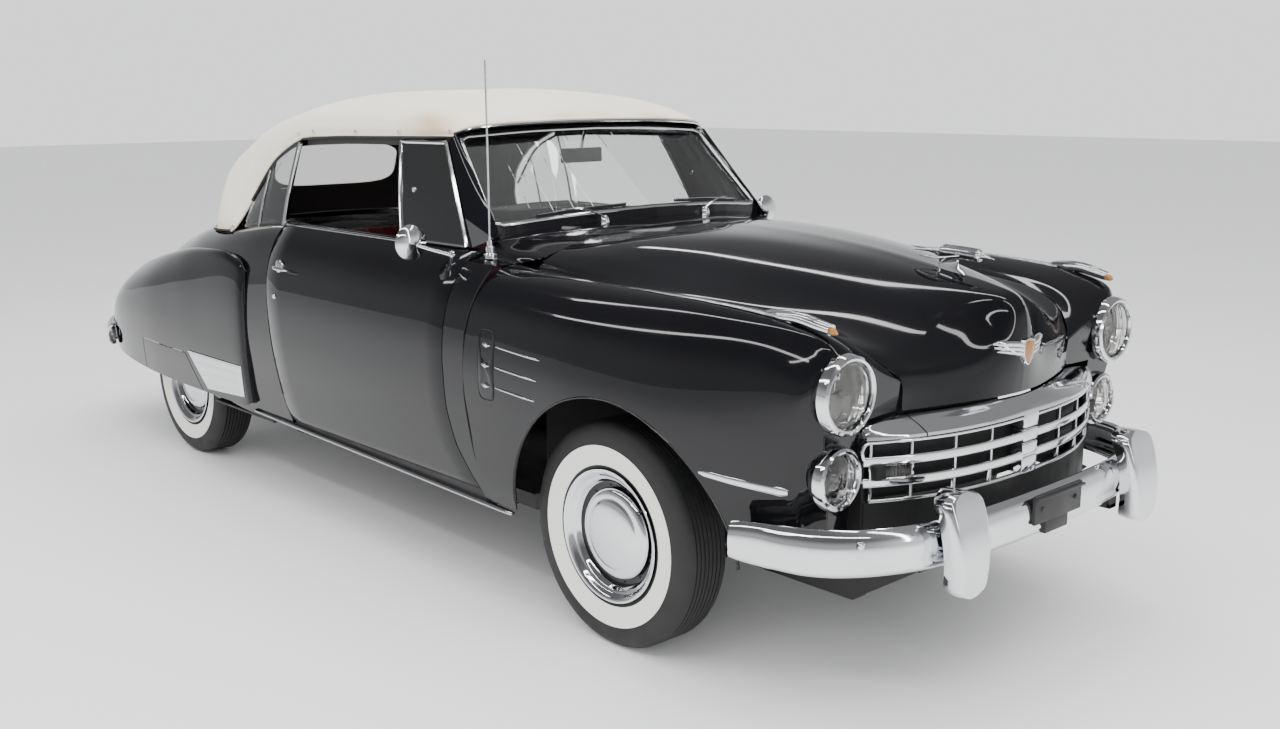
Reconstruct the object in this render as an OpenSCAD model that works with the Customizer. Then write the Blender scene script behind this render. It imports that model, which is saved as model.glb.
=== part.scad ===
/* [Overall] */
// Distance between the front and rear axles
wheelbase = 3023; // [2800:1:3300]
// Height of the front axle's centre above the ground, equal to the tyre's radius
tyre_r = 350; // [335:1:360]
// Distance between the middles of the front tyres
front_track = 1434; // [1400:1:1450]
// Distance between the middles of the rear tyres
rear_track = 1372; // [1340:1:1390]

/* [Body side] */
// Half width of the body at its widest line
side_half = 888; // [880:1:900]
// Height of the widest line
side_waist_z = 740; // [700:1:780]
// How far the shoulder comes in at the belt
shoulder_in = 128; // [110:1:140]
// How far the side comes in at the sill
sill_in = 40; // [30:1:60]
// Height of the belt line at the door
belt_z = 1145; // [1130:1:1160]
// Lower edge of the doors
door_low_z = 385; // [380:1:400]

/* [Panels] */
// Thickness of a sheet metal panel
sheet = 4; // [3:0.5:5]
// Whole thickness of a door
door_t = 62; // [50:1:70]
// Gap between neighbouring panels
panel_gap = 5; // [4:0.5:7]
// Thickness of the cloth of the top
cloth_t = 7; // [5:0.5:8]
// Thickness of the window glass
glass_t = 6; // [4:0.5:7]

/* [Wheels] */
// Radius of the rim's flange
rim_r = 207; // [200:1:215]
// Width of a tyre
tyre_w = 178; // [165:1:185]
// Radius of the hub cap
cap_r = 143; // [120:1:150]
// Distance of the kingpins from the middle of the car
kingpin_y = 628; // [620:1:635]

/* [Wheel arches] */
// Radius of the front wheel arch
arch_r = 452; // [445:1:460]
// Distance of the arch's centre ahead of the front axle
arch_ahead = 70; // [60:1:80]

/* [Chassis] */
// Outer half width of the frame rails at the front
rail_front_y = 415; // [390:1:420]
// Outer half width of the frame rails at the cabin
rail_mid_y = 560; // [500:1:580]
// Height of the frame rails
rail_h = 110; // [90:1:120]
// Underside of the frame rails
rail_z = 225; // [215:1:240]

/* [Bumpers] */
// Height of the middle of the front bumper
bumper_z = 500; // [480:1:520]
// Height of the face of the bumper bar
bumper_h = 128; // [110:1:140]
// Foremost point of the front bumper bar
bumper_front_x = 2578; // [2560:1:2585]
// Rearmost point of the rear bumper bar
bumper_rear_x = -2580; // [-2590:1:-2560]

/* [Lamps] */
// Outer radius of a headlamp's ring
headlamp_r = 108; // [100:1:112]
// Outer radius of a fog lamp's ring
fog_r = 88; // [80:1:92]

/* [Hidden] */
$fn = 48;

// Axle positions, with the origin under the middle of the car
front_x = 1560;
rear_x = front_x - wheelbase;
axle_z = tyre_r;
arch_x = front_x + arch_ahead;
paint = [0.02, 0.02, 0.025];
chrome = [0.85, 0.86, 0.88];
steel = [0.12, 0.12, 0.13];
cloth = [0.88, 0.83, 0.72];

// ---- curves and surfaces ----

// Point of a Catmull-Rom curve between b and c
function catmull(a, b, c, d, t) =
  0.5 * ((2 * b) + (c - a) * t + (2 * a - 5 * b + 4 * c - d) * t * t + (3 * b - a - 3 * c + d) * t * t * t);

// A smooth curve through the points p, with n steps between neighbours
function curve(p, n) = let (m = len(p)) [
  for (i = [0 : m - 2], k = [0 : (i == m - 2 ? n : n - 1)])
    catmull(i == 0 ? 2 * p[0] - p[1] : p[i - 1], p[i], p[i + 1],
      i == m - 2 ? 2 * p[m - 1] - p[m - 2] : p[i + 2], k / n)
];

function reversed(g) = [for (i = [len(g) - 1 : -1 : 0]) g[i]];

function transpose(g) = [for (j = [0 : len(g[0]) - 1]) [for (i = [0 : len(g) - 1]) g[i][j]]];

// A smooth grid through rows of points, with nu steps between rows and nv along a row
function surface_grid(rows, nu, nv) =
  transpose([for (col = transpose([for (r = rows) curve(r, nv)])) curve(col, nu)]);

// Rows of 3D points from stations [x, [[y, z], ...], lean], leaning forward above the headlamps' height
function stations(list) = [for (s = list) let (lean = s[2] == undef ? 0 : s[2])
  [for (q = s[1]) [s[0] + lean * (q[1] - 902), q[0], q[1]]]];

function unit(v) = norm(v) < 1e-9 ? [0, 0, 0] : v / norm(v);

// Surface normal of grid g at row i and column j
function grid_normal(g, i, j) = let (
    a = g[max(i - 1, 0)][j], b = g[min(i + 1, len(g) - 1)][j],
    c = g[i][max(j - 1, 0)], d = g[i][min(j + 1, len(g[0]) - 1)])
  unit(cross(b - a, d - c));

// The grid moved by t against its normals
function inner_grid(g, t) = [for (i = [0 : len(g) - 1])
  [for (j = [0 : len(g[0]) - 1]) g[i][j] - t * grid_normal(g, i, j)]];

// A closed solid between two grids of the same size, a being the outer one
module between_grids(a, b) {
  nr = len(a);
  nc = len(a[0]);
  n = nr * nc;
  points = concat([for (r = a) each r], [for (r = b) each r]);
  outer = [for (i = [0 : nr - 2], j = [0 : nc - 2]) let (k = i * nc + j)
    each [[k, k + 1, k + nc], [k + 1, k + nc + 1, k + nc]]];
  inner = [for (f = outer) [f[2] + n, f[1] + n, f[0] + n]];
  rim = concat([for (j = [0 : nc - 1]) j], [for (i = [1 : nr - 1]) i * nc + nc - 1],
    [for (j = [nc - 2 : -1 : 0]) (nr - 1) * nc + j], [for (i = [nr - 2 : -1 : 1]) i * nc]);
  wall = [for (k = [0 : len(rim) - 1]) let (p = rim[k], q = rim[(k + 1) % len(rim)])
    each [[q, p, p + n], [q, p + n, q + n]]];
  polyhedron(points, concat(outer, inner, wall), convexity = 6);
}

// A sheet panel whose outer face is the grid g
module panel(g, t) between_grids(g, inner_grid(g, t));

function volume(points, faces, i = 0) = i == len(faces) ? 0
  : points[faces[i][0]] * cross(points[faces[i][1]], points[faces[i][2]]) + volume(points, faces, i + 1);

// A solid through rings of points, turned right side out
module loft(rings) {
  n = len(rings[0]);
  m = len(rings);
  points = [for (r = rings) each r];
  side = [for (i = [0 : m - 2], j = [0 : n - 1]) let (a = i * n + j, b = i * n + (j + 1) % n)
    each [[a, b, b + n], [a, b + n, a + n]]];
  ends = [for (j = [1 : n - 2]) each [[0, j + 1, j], [(m - 1) * n, (m - 1) * n + j, (m - 1) * n + j + 1]]];
  faces = concat(side, ends);
  polyhedron(points, volume(points, faces) < 0 ? faces : [for (f = faces) [f[2], f[1], f[0]]], convexity = 6);
}

// A smooth closed outline through the points p
function closed_curve(p, n) = let (m = len(p)) [for (i = [0 : m - 1], k = [0 : n - 1])
  catmull(p[(i + m - 1) % m], p[i], p[(i + 1) % m], p[(i + 2) % m], k / n)];

module both_sides() {
  children();
  mirror([0, 1, 0]) children();
}

// A prism along Y from the outline pts of [x, z]
module prism_y(pts, y0, y1) translate([0, y1, 0]) rotate([90, 0, 0]) linear_extrude(y1 - y0) polygon(pts);

// A block given by its lowest and highest corners
module block(a, b) translate(a) cube(b - a);

// A cylinder along Y
module rod_y(r, y0, y1) translate([0, y0, 0]) rotate([-90, 0, 0]) cylinder(r = r, h = y1 - y0);

// A cylinder along X
module rod_x(r, x0, x1) translate([x0, 0, 0]) rotate([0, 90, 0]) cylinder(r = r, h = x1 - x0);

// A round bar between two points
module bar(a, b, r) {
  d = b - a;
  translate(a) rotate([0, acos(d[2] / norm(d)), atan2(d[1], d[0])]) cylinder(r = r, h = norm(d));
}

// ---- body side ----

// Half width of the smooth body side at height z
function side_y(z) = z > side_waist_z
  ? side_half - shoulder_in * pow((z - side_waist_z) / (belt_z - side_waist_z), 3.4)
  : side_half - sill_in * pow((side_waist_z - z) / (side_waist_z - 345), 2);

// Front and rear edges of the door, as x at height z
door_front_line = [[360, 1010], [420, 955], [520, 885], [640, 848], [800, 836], [1000, 843], [1150, 850]];
door_rear_line = [[360, -285], [420, -308], [520, -335], [740, -372], [1000, -405], [1150, -432]];
fender_rear_line = [[340, 1050], [500, 985], [700, 955], [900, 958], [1040, 985], [1150, 1010]];

door_z = [door_low_z, 440, 520, 640, 760, 880, 970, 1040, 1090, 1125, belt_z];

// Door grid: rows from the front edge to the rear edge, columns from the bottom up
door_steps = 8;
door_grid = [for (i = [door_steps : -1 : 0]) [for (z = door_z)
  let (x0 = lookup(z, door_rear_line) + panel_gap / 2, x1 = lookup(z, door_front_line) - panel_gap / 2)
  [x0 + (x1 - x0) * i / door_steps, side_y(z), z]]];

function shift_grid(g, d) = [for (r = g) [for (p = r) p + d]];

// ---- front fender and hood ----

// Seam between fender and hood, as points on its middle line
hood_cut = [[1092, 678, 1108], [1300, 652, 1094], [1524, 631, 1079], [1819, 592, 1062], [2094, 558, 1036],
  [2236, 522, 994], [2301, 472, 945], [2338, 430, 900]];
hood_gap = 5;

fender_stations = [
  [948, [[692, 1112], [725, 1112], [770, 1100], [815, 1070], [862, 987], [886, 850], [887, 700], [869, 450], [851, 350]]],
  [1092, [[681, 1108], [718, 1109], [765, 1100], [814, 1068], [862, 987], [886, 850], [888, 700], [870, 450], [852, 352]]],
  [1300, [[655, 1094], [700, 1104], [755, 1101], [809, 1066], [860, 985], [886, 850], [888, 700], [871, 455], [855, 362]]],
  [1524, [[634, 1079], [683, 1097], [742, 1102], [802, 1066], [857, 980], [884, 850], [888, 700], [874, 480], [860, 395]]],
  [1819, [[595, 1062], [650, 1088], [728, 1100], [790, 1063], [844, 968], [870, 832], [870, 690], [852, 520], [840, 430]]],
  [2094, [[561, 1036], [617, 1066], [712, 1087], [774, 1050], [820, 948], [836, 812], [827, 680], [802, 540], [787, 430]]],
  [2236, [[525, 994], [588, 1032], [700, 1067], [757, 1034], [802, 936], [808, 802], [788, 670], [753, 545], [727, 430]]],
  [2301, [[475, 945], [550, 985], [690, 1040], [742, 1004], [784, 915], [784, 800], [758, 680], [726, 560], [703, 440]], 0.1],
  [2338, [[433, 900], [520, 935], [645, 1000], [702, 984], [734, 910], [732, 800], [706, 680], [676, 560], [654, 450]], 0.12]
];
fender_grid = surface_grid(stations(fender_stations), 2, 2);
nose_edge = [for (q = fender_grid[len(fender_grid) - 1]) [q[1], q[2]]];

// Hood: half rows from the middle out to the seam
hood_rows = [
  [[1092, 0, 1212], [1092, 240, 1207], [1092, 440, 1188], [1092, 570, 1162], [1092, 640, 1134]],
  [[1330, 0, 1221], [1325, 230, 1213], [1318, 420, 1189], [1310, 540, 1154], [1303, 612, 1118]],
  [[1600, 0, 1214], [1590, 215, 1205], [1575, 385, 1174], [1555, 500, 1130], [1538, 585, 1095]],
  [[1880, 0, 1190], [1872, 180, 1180], [1860, 330, 1148], [1845, 450, 1099], [1830, 537, 1068]],
  [[2140, 0, 1152], [2135, 130, 1141], [2126, 245, 1106], [2115, 355, 1057], [2104, 465, 1030]],
  [[2330, 0, 1119], [2322, 80, 1106], [2305, 165, 1066], [2285, 270, 1011], [2260, 400, 984]],
  [[2428, 0, 1084], [2417, 45, 1067], [2391, 110, 1010], [2365, 205, 957], [2335, 335, 935]],
  [[2456, 0, 990], [2450, 35, 976], [2433, 90, 945], [2408, 170, 920], [2376, 290, 904]],
  [[2446, 0, 819], [2443, 50, 819], [2434, 110, 818], [2416, 190, 818], [2384, 300, 817], [2343, 424, 816]]
];
hood_half = surface_grid([for (i = [0 : len(hood_rows) - 1]) i < len(hood_cut)
  ? concat(hood_rows[i], [hood_cut[i] - [0, hood_gap / 2, 0]]) : hood_rows[i]], 2, 2);
hood_grid = [for (r = hood_half) concat(
  [for (j = [len(r) - 1 : -1 : 1]) [r[j][0], -r[j][1], r[j][2]]], r)];

// ---- rear body ----

rear_stations = [
  [-700, [[846, 345], [868, 500], [880, 740], [852, 960], [760, 1112], [600, 1132], [300, 1142], [0, 1145]]],
  [-1000, [[828, 345], [855, 500], [862, 740], [830, 940], [748, 1072], [600, 1102], [300, 1118], [0, 1122]]],
  [-1300, [[795, 350], [828, 500], [835, 720], [800, 910], [705, 1042], [560, 1080], [290, 1100], [0, 1105]]],
  [-1520, [[760, 356], [795, 500], [800, 705], [762, 882], [662, 1000], [520, 1044], [268, 1070], [0, 1077]]],
  [-1720, [[720, 365], [755, 500], [760, 692], [720, 852], [612, 962], [478, 1008], [250, 1037], [0, 1045]]],
  [-1930, [[670, 375], [700, 500], [702, 668], [662, 810], [560, 905], [430, 950], [225, 980], [0, 988]]],
  [-2170, [[605, 395], [632, 500], [632, 630], [592, 740], [495, 820], [380, 860], [200, 888], [0, 896]]],
  [-2350, [[540, 410], [562, 490], [560, 580], [522, 660], [435, 722], [335, 755], [175, 778], [0, 786]]],
  [-2440, [[480, 420], [498, 470], [495, 530], [462, 578], [385, 615], [295, 636], [155, 650], [0, 655]]],
  [-2470, [[440, 425], [450, 445], [445, 470], [418, 492], [350, 512], [270, 524], [145, 533], [0, 536]]]
];
// Edge beside the door, as points up the side and across
quarter_front = [[-280, 846, 345], [-331, 873, 500], [-375, 888, 740], [-404, 865, 985], [-437, 760, 1143],
  [-437, 600, 1150], [-437, 300, 1156], [-437, 0, 1158]];
rear_grid = surface_grid(concat([quarter_front], stations(rear_stations)), 2, 2);
rear_inner = inner_grid(rear_grid, sheet);

// The trunk lid's rows and its outer column in the rear grid
lid_rows = [8, 18];
lid_col = 9;
deck_row = 7;
last_col = len(rear_grid[0]) - 1;

function part_grid(g, rows, cols) = [for (i = [rows[0] : rows[1]]) [for (j = [cols[0] : cols[1]]) g[i][j]]];

// A grid that ends on the centre line, continued on the other side
function closed_over(g) = [for (r = g)
  concat(r, [for (j = [len(r) - 2 : -1 : 0]) [r[j][0], -r[j][1], r[j][2]]])];

// The grid with its border moved inwards by d
function inset_grid(g, d) = let (m = len(g) - 1, n = len(g[0]) - 1) [for (i = [0 : m]) [for (j = [0 : n])
  let (a = i == 0 ? 1 : (i == m ? m - 1 : i), b = j == 0 ? 1 : (j == n ? n - 1 : j))
  g[i][j] + d * unit(g[a][j] - g[i][j]) + d * unit(g[i][b] - g[i][j])]];

rear_fender_stations = [
  [-597, [[876, 962], [880, 944], [887, 900], [893, 820], [895, 700], [892, 550], [878, 400]]],
  [-640, [[868, 990], [880, 978], [890, 945], [900, 850], [903, 710], [900, 550], [883, 385]]],
  [-780, [[844, 1012], [862, 1013], [884, 978], [900, 870], [904, 720], [900, 550], [881, 380]]],
  [-1000, [[822, 1003], [844, 1008], [872, 975], [896, 870], [902, 720], [898, 550], [878, 378]]],
  [-1260, [[785, 970], [812, 985], [852, 955], [890, 855], [900, 715], [896, 550], [874, 376]]],
  [-1600, [[732, 903], [760, 925], [812, 905], [870, 820], [890, 700], [888, 550], [868, 380]]],
  [-1940, [[672, 826], [704, 848], [752, 838], [822, 770], [855, 670], [858, 540], [845, 392]]],
  [-2200, [[615, 740], [646, 762], [690, 757], [762, 705], [802, 625], [808, 520], [798, 405]]],
  [-2370, [[565, 650], [596, 672], [632, 668], [690, 632], [725, 575], [732, 500], [725, 415]]],
  [-2425, [[530, 568], [570, 582], [600, 578], [635, 560], [655, 530], [660, 490], [655, 430]]],
  [-2445, [[590, 545], [600, 552], [606, 552], [612, 545], [616, 530], [616, 510], [612, 490]]]
];
rear_fender_grid = reversed(surface_grid(stations(rear_fender_stations), 2, 2));
skirt_outline = [[-1704, 300], [-1674, 536], [-1172, 536], [-1010, 300]];

// ---- folding top ----

top_rows = [
  [[535, 602, 1512], [552, 596, 1530], [575, 540, 1548], [592, 400, 1558], [608, 200, 1564], [615, 0, 1566]],
  [[400, 632, 1508], [400, 630, 1545], [392, 590, 1588], [386, 440, 1628], [384, 220, 1652], [384, 0, 1660]],
  [[100, 645, 1503], [100, 645, 1545], [100, 605, 1600], [100, 450, 1645], [100, 220, 1670], [100, 0, 1677]],
  [[-200, 652, 1497], [-200, 652, 1540], [-200, 612, 1598], [-200, 455, 1644], [-200, 222, 1671], [-200, 0, 1678]],
  [[-436, 655, 1486], [-436, 655, 1530], [-436, 614, 1588], [-436, 456, 1634], [-436, 225, 1662], [-436, 0, 1670]],
  [[-640, 662, 1410], [-650, 658, 1470], [-660, 615, 1545], [-670, 460, 1600], [-680, 230, 1635], [-685, 0, 1645]],
  [[-780, 675, 1300], [-810, 668, 1390], [-850, 625, 1480], [-880, 480, 1550], [-905, 240, 1590], [-915, 0, 1603]],
  [[-850, 705, 1190], [-915, 695, 1290], [-990, 640, 1400], [-1060, 500, 1470], [-1110, 255, 1515], [-1130, 0, 1530]],
  [[-890, 745, 1110], [-1010, 735, 1180], [-1120, 670, 1290], [-1230, 520, 1360], [-1300, 270, 1400], [-1320, 0, 1415]],
  [[-915, 762, 1084], [-1080, 740, 1074], [-1230, 685, 1068], [-1345, 540, 1076], [-1415, 290, 1088], [-1440, 0, 1092]]
];
top_grid = closed_over(surface_grid(top_rows, 2, 2));

// ---- nodes: chassis ----

tail_rail_z = 395;
seat_gap = 0.3;
floor_z = rail_z + rail_h + seat_gap;
floor_x = [-1010, 1043.7];
cross_top = rail_z + 85;
exhaust_r = 24;
exhaust_z = rail_z + 5 - exhaust_r - seat_gap;

// Jacking plates under the rails
jack_x = [-850, 750];
jack_pad_h = 6;
module frame() color(steel) {
  both_sides() {
    block([-2350, rail_front_y - 60, tail_rail_z], [-1060, rail_front_y, tail_rail_z + rail_h]);
    block([-1072, rail_front_y - 60, rail_z], [-1012, rail_mid_y, tail_rail_z + rail_h - 60]);
    block([-1012, rail_mid_y - 60, rail_z], [-1000, rail_mid_y, rail_z + rail_h]);
    block([-1000, rail_mid_y - 60, rail_z], [900, rail_mid_y, rail_z + rail_h]);
    rail_sweep();
    block([1250, rail_front_y - 60, rail_z], [2190, rail_front_y, rail_z + rail_h]);
    // horn that rises to the bumper irons
    prism_y([[2185, rail_z], [2400, bumper_z - 135], [2400, bumper_z - 75], [2185, rail_z + rail_h]],
      rail_front_y - 60, rail_front_y);
  }
  block([-2250, 60 - rail_front_y, tail_rail_z + 10], [-2180, rail_front_y - 60, tail_rail_z + rail_h - 10]);
  for (x = [-990, 0, 830])
    block([x, 60 - rail_mid_y, rail_z + 5], [x + 70, rail_mid_y - 60, cross_top]);
  both_sides() for (x = jack_x)
    block([x - 40, rail_mid_y - 60, rail_z - jack_pad_h], [x + 40, rail_mid_y, rail_z]);
}

// The slanted stretch of rail between the cabin and the engine
module rail_sweep() translate([0, 0, rail_z]) linear_extrude(rail_h)
  polygon([[900, rail_mid_y - 60], [900, rail_mid_y], [1250, rail_front_y], [1250, rail_front_y - 60]]);

module floor_pan() color(steel) {
  difference() {
    block([floor_x[0], -790, floor_z + 0.3], [floor_x[1], 790, floor_z + sheet]);
    both_sides() block([800, 680, floor_z - 1], [floor_x[1] + 1, 791, floor_z + sheet + 1]);
    block([floor_x[0] - 1, -110, floor_z - 1], [floor_x[1] + 1, 110, floor_z + sheet + 1]);
  }
  both_sides() {
    block([-275, 785, floor_z + 1], [floor_x[1], 843.7, door_low_z - 7]);
    // ledge that the rear body's lower edge stands on
    block([-1000, 785, floor_z + 1], [-460, 850, 344.2]);
  }
  difference() {
    block([floor_x[0], -120, floor_z], [floor_x[1], 120, floor_z + 95]);
    block([floor_x[0] - 1, -110, floor_z - 1], [floor_x[1] + 1, 110, floor_z + 90]);
  }
}

cowl_z = [350, 450, 560, 680, 800, 920, 1010, 1070, 1120];
cowl_side_grid = [for (i = [2 : -1 : 0]) [for (z = cowl_z)
  let (x0 = lookup(z, door_front_line) + panel_gap / 2, x1 = lookup(z, fender_rear_line) - 0.8)
  [x0 + (x1 - x0) * i / 2, side_y(z), z]]];

// The scuttle between the windshield and the hood
cowl_top_rows = [
  [[856, 786, 1117], [858, 724, 1132], [840, 660, 1172], [852, 500, 1203], [885, 260, 1216], [900, 0, 1219]],
  [[905, 786, 1116], [905, 712, 1122], [900, 640, 1158], [925, 500, 1195], [945, 260, 1214], [955, 0, 1217]],
  [[985, 786, 1112], [988, 682, 1115], [1064, 628, 1138], [1078, 480, 1178], [1084, 260, 1205], [1085, 0, 1211]]
];
scuttle_grid = closed_over(reversed(surface_grid(cowl_top_rows, 2, 2)));
// The scuttle made thick, to trim what stands on it
module scuttle_trim() {
  between_grids(shift_grid(scuttle_grid, [0, 0, 2 * seat_gap]), shift_grid(scuttle_grid, [0, 0, -70]));
  between_grids(inner_grid(scuttle_grid, -2 * seat_gap), inner_grid(scuttle_grid, 9));
  for (d = [-0.5, 0.5])
    translate([d, 0, 0]) panel(scuttle_grid, sheet);
}

module firewall() translate([1044, 0, 0]) rotate([90, 0, 90]) linear_extrude(8)
  polygon([[-620, floor_z], [620, floor_z], [620, 1130], [480, 1176], [260, 1196], [40, 1208], [-40, 1208],
    [-260, 1196], [-480, 1176], [-620, 1130]]);

module cowl() color(paint) {
  both_sides() panel(cowl_side_grid, sheet);
  panel(scuttle_grid, sheet);
  difference() {
    firewall();
    block([1040, -125, floor_z], [1060, 125, floor_z + 96]);
  }
}

module engine() color([0.2, 0.25, 0.2]) {
  block([1190, -150, 360], [1850, 150, 740]);
  block([1240, -90, 740], [1780, 60, 850]);
  block([560, -95, 345], [1190, 95, floor_z + 80]);
  block([840, -60, cross_top + seat_gap], [890, 60, 345]);
}

module radiator() color(steel) {
  block([2120, -280, 400], [2190, 280, 880]);
  block([2130, 15 - rail_front_y, rail_z + rail_h + seat_gap], [2180, rail_front_y - 15, 400]);
}

module driveshaft() color(steel) bar([558.8, 0, 385], [rear_x + 156.5, 0, axle_z], 36);

module rear_axle() color(steel) translate([rear_x, 0, axle_z]) {
  rod_y(38, -(rear_track / 2 - 52), rear_track / 2 - 52);
  rod_y(spindle_r, -(rear_track / 2 + hub_face - seat_gap), rear_track / 2 + hub_face - seat_gap);
  sphere(r = 140);
  rod_x(55, 100, 155);
}

spindle_r = 22;
hub_face = 28;
leaf_count = 4;
leaf_t = 10;
module rear_springs() color(steel) both_sides() for (i = [0 : leaf_count - 1])
  block([rear_x - 620 + i * 130, 470, axle_z - 38 - (i + 1) * leaf_t],
    [rear_x + 390.7 - i * 80, 525, axle_z - 38 - i * leaf_t]);

module front_suspension() color(steel) {
  block([front_x - 60, -380, rail_z - 40], [front_x + 60, 380, rail_z - seat_gap]);
  both_sides() {
    for (s = [-1, 1])
      bar([front_x + 45 * s, 375, rail_z - 20], [front_x + 8 * s, kingpin_y, rail_z - 20], 16);
    translate([front_x, kingpin_y, rail_z - 42]) cylinder(r = 26, h = 54 - seat_gap);
  }
}

module exhaust() color([0.3, 0.28, 0.26]) {
  bar([1350, -172.6, 400], [1110, -250, exhaust_z + 1], exhaust_r - 2);
  bar([1120, -250, exhaust_z], [-500, -250, exhaust_z], exhaust_r);
  bar([-480, -250, exhaust_z], [-860, -250, exhaust_z], 46);
  bar([-840, -250, exhaust_z], [-1350, -250, exhaust_z], exhaust_r);
  bar([-1340, -250, exhaust_z + 1], [-2480, -300, 300], exhaust_r - 2);
}

module fuel_tank() color(steel) block([-2160, -200, 335], [-1820, rail_front_y, tail_rail_z - seat_gap]);

// Radius of the rear wheel wells
well_r = 405;
module wheel_houses() color(steel) both_sides() {
  difference() {
    translate([rear_x, 0, axle_z]) rod_y(well_r, 545, 800);
    translate([rear_x, 0, axle_z]) rod_y(well_r - sheet, 545 + sheet, 801);
    block([rear_x - 500, 500, -200], [rear_x + 500, 800, tail_rail_z + 130]);
  }
  prism_y([[1052.3, 660], [1052.3, 960], [1700, 940], [2110, 850], [2110, 660]], rail_front_y + 5, rail_front_y + 9);
}

// ---- nodes: body ----

module arch_hole() translate([arch_x, 0, axle_z - 5]) rod_y(arch_r, 560, 960);

module fender_rear_cut() prism_y(concat([[930, 330], [lookup(cowl_z[0], fender_rear_line), 330]],
  [for (z = cowl_z) [lookup(z, fender_rear_line), z]], [[lookup(1120, fender_rear_line), 1150], [930, 1150]]), 660, 900);

// The face round the lamps that closes the fender at the front, leaning with the lamps' panel
module fender_face() multmatrix([[1, 0, 0.12, 2338 - 0.12 * 902], [0, 1, 0, 0], [0, 0, 1, 0], [0, 0, 0, 1]])
  rotate([90, 0, 90]) translate([0, 0, -sheet]) linear_extrude(sheet)
  polygon(concat(nose_edge, [[586, 450], [586, 812], [433, 816]]));

module lamp_hole(at, r) translate(at) {
  rod_x(r * lamp_back + 0.5, -80, 60);
  rod_x(r + 0.5, -0.5, 60);
}

module front_fenders() color(paint) both_sides() difference() {
  union() {
    panel(fender_grid, sheet);
    fender_face();
  }
  arch_hole();
  fender_rear_cut();
  lamp_hole(headlamp_at, headlamp_r);
  lamp_hole(fog_at, fog_r);
}

module skirt_hole(gap) prism_y([[-1712 + gap, 340], [-1674 + gap, 536 - gap], [-1172 - gap, 536 - gap],
  [-1005 - gap, 340]], 800, 960);

// The body's skin made thick inwards and seat_gap proud, to trim what stands on it
module body_trim(cols) between_grids(part_grid(inner_grid(rear_grid, -seat_gap), [0, len(rear_grid) - 1], cols),
  part_grid(inner_grid(rear_grid, 40), [0, len(rear_grid) - 1], cols));

// Fender grid with its inner edge drawn in to meet the body side
rear_fender_seat = [for (r = rear_fender_grid) concat([r[0] - [0, 14, 0]], [for (j = [1 : len(r) - 1]) r[j]])];

module rear_fenders() color(paint) both_sides() difference() {
  panel(rear_fender_seat, sheet);
  skirt_hole(0);
  body_trim([0, 9]);
}

module fender_skirts() color(paint) both_sides() intersection() {
  panel(rear_fender_grid, sheet);
  skirt_hole(0.8);
}

module rear_patch(rows, cols) between_grids(part_grid(rear_grid, rows, cols), part_grid(rear_inner, rows, cols));

module rear_body() color(paint) difference() {
  both_sides() {
    rear_patch([0, len(rear_grid) - 1], [0, lid_col]);
    rear_patch([deck_row, lid_rows[0]], [lid_col - 1, last_col]);
    rear_patch([lid_rows[1], len(rear_grid) - 1], [lid_col - 1, last_col]);
  }
  translate([rear_x, 0, axle_z]) {
    rod_y(well_r + seat_gap, 500, 900);
    rod_y(well_r + seat_gap, -900, -500);
  }
}

module trunk_lid() color(paint)
  panel(inset_grid(closed_over(part_grid(rear_grid, lid_rows, [lid_col, last_col])), panel_gap), sheet);

module hood() color(paint) panel(hood_grid, sheet);

// Plan line of the grille, as x at distance y from the middle
nose_half = 575;
function nose_x(y) = 2480 - 135 * pow(abs(y) / nose_half, 2.6);

// A strip that follows the grille line, out to the half width given
module nose_strip(x_off, depth, z0, z1, half) {
  ys = [for (k = [-12 : 12]) k * half / 12];
  translate([0, 0, z0]) linear_extrude(z1 - z0) polygon(concat(
    [for (y = ys) [nose_x(y) + x_off, y]], [for (y = reversed(ys)) [nose_x(y) + x_off - depth, y]]));
}

grille_z = [586, 758];
module nose_panel() color(paint) {
  nose_strip(-6, sheet, 430, grille_z[0] - seat_gap, nose_half);
  both_sides() block([2290, nose_half - 2, 440], [nose_x(nose_half) - 8, 583.7, 760.5]);
}

// Moulding over the grille: points [y, back x, back z, front z]
moulding_rows = [[0, 2446, 811, 772], [110, 2434, 811, 771], [190, 2416, 810, 771], [300, 2384, 809, 770],
  [424, 2343, 808, 769], [505, 2338, 804, 768], [560, 2334, 796, 768], [582, 2326, 786, 768]];
module moulding() {
  half = [for (q = moulding_rows) [q[1], q[0], q[2]]];
  front = [for (q = moulding_rows) [nose_x(q[0]) + 6, q[0], q[3]]];
  outer = closed_over([reversed(front), reversed(half)]);
  between_grids(outer, shift_grid(outer, [-4, 0, -7]));
}

module grille() color(chrome) {
  moulding();
  nose_strip(0, 14, grille_z[1] - 10, grille_z[1], nose_half - 3);
  nose_strip(-2, 10, grille_z[0], grille_z[0] + 10, nose_half - 3);
  for (z = [631, 689])
    nose_strip(0, 16, z, z + 24, nose_half - 3);
  for (y = [-562, -455, -318, -178, 178, 318, 455, 562])
    block([nose_x(y) - 16, y - 4, grille_z[0] + 5], [nose_x(y) - 4, y + 4, grille_z[1] - 5]);
  block([2440, -36, grille_z[0]], [2488, 36, 766]);
  both_sides() block([nose_x(510) - 34, 462, 650], [nose_x(510) - 2, 556, 694]);
}

// Path of a wrap-round bumper: points [x, y] of its middle line on one side
front_bumper_path = [[bumper_front_x, 0], [2574, 200], [2560, 400], [2520, 580], [2440, 730], [2330, 820], [2131, 880]];
rear_bumper_path = [[bumper_rear_x, 0], [-2576, 200], [-2562, 400], [-2522, 580], [-2450, 720], [-2350, 800], [-2200, 850]];

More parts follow.
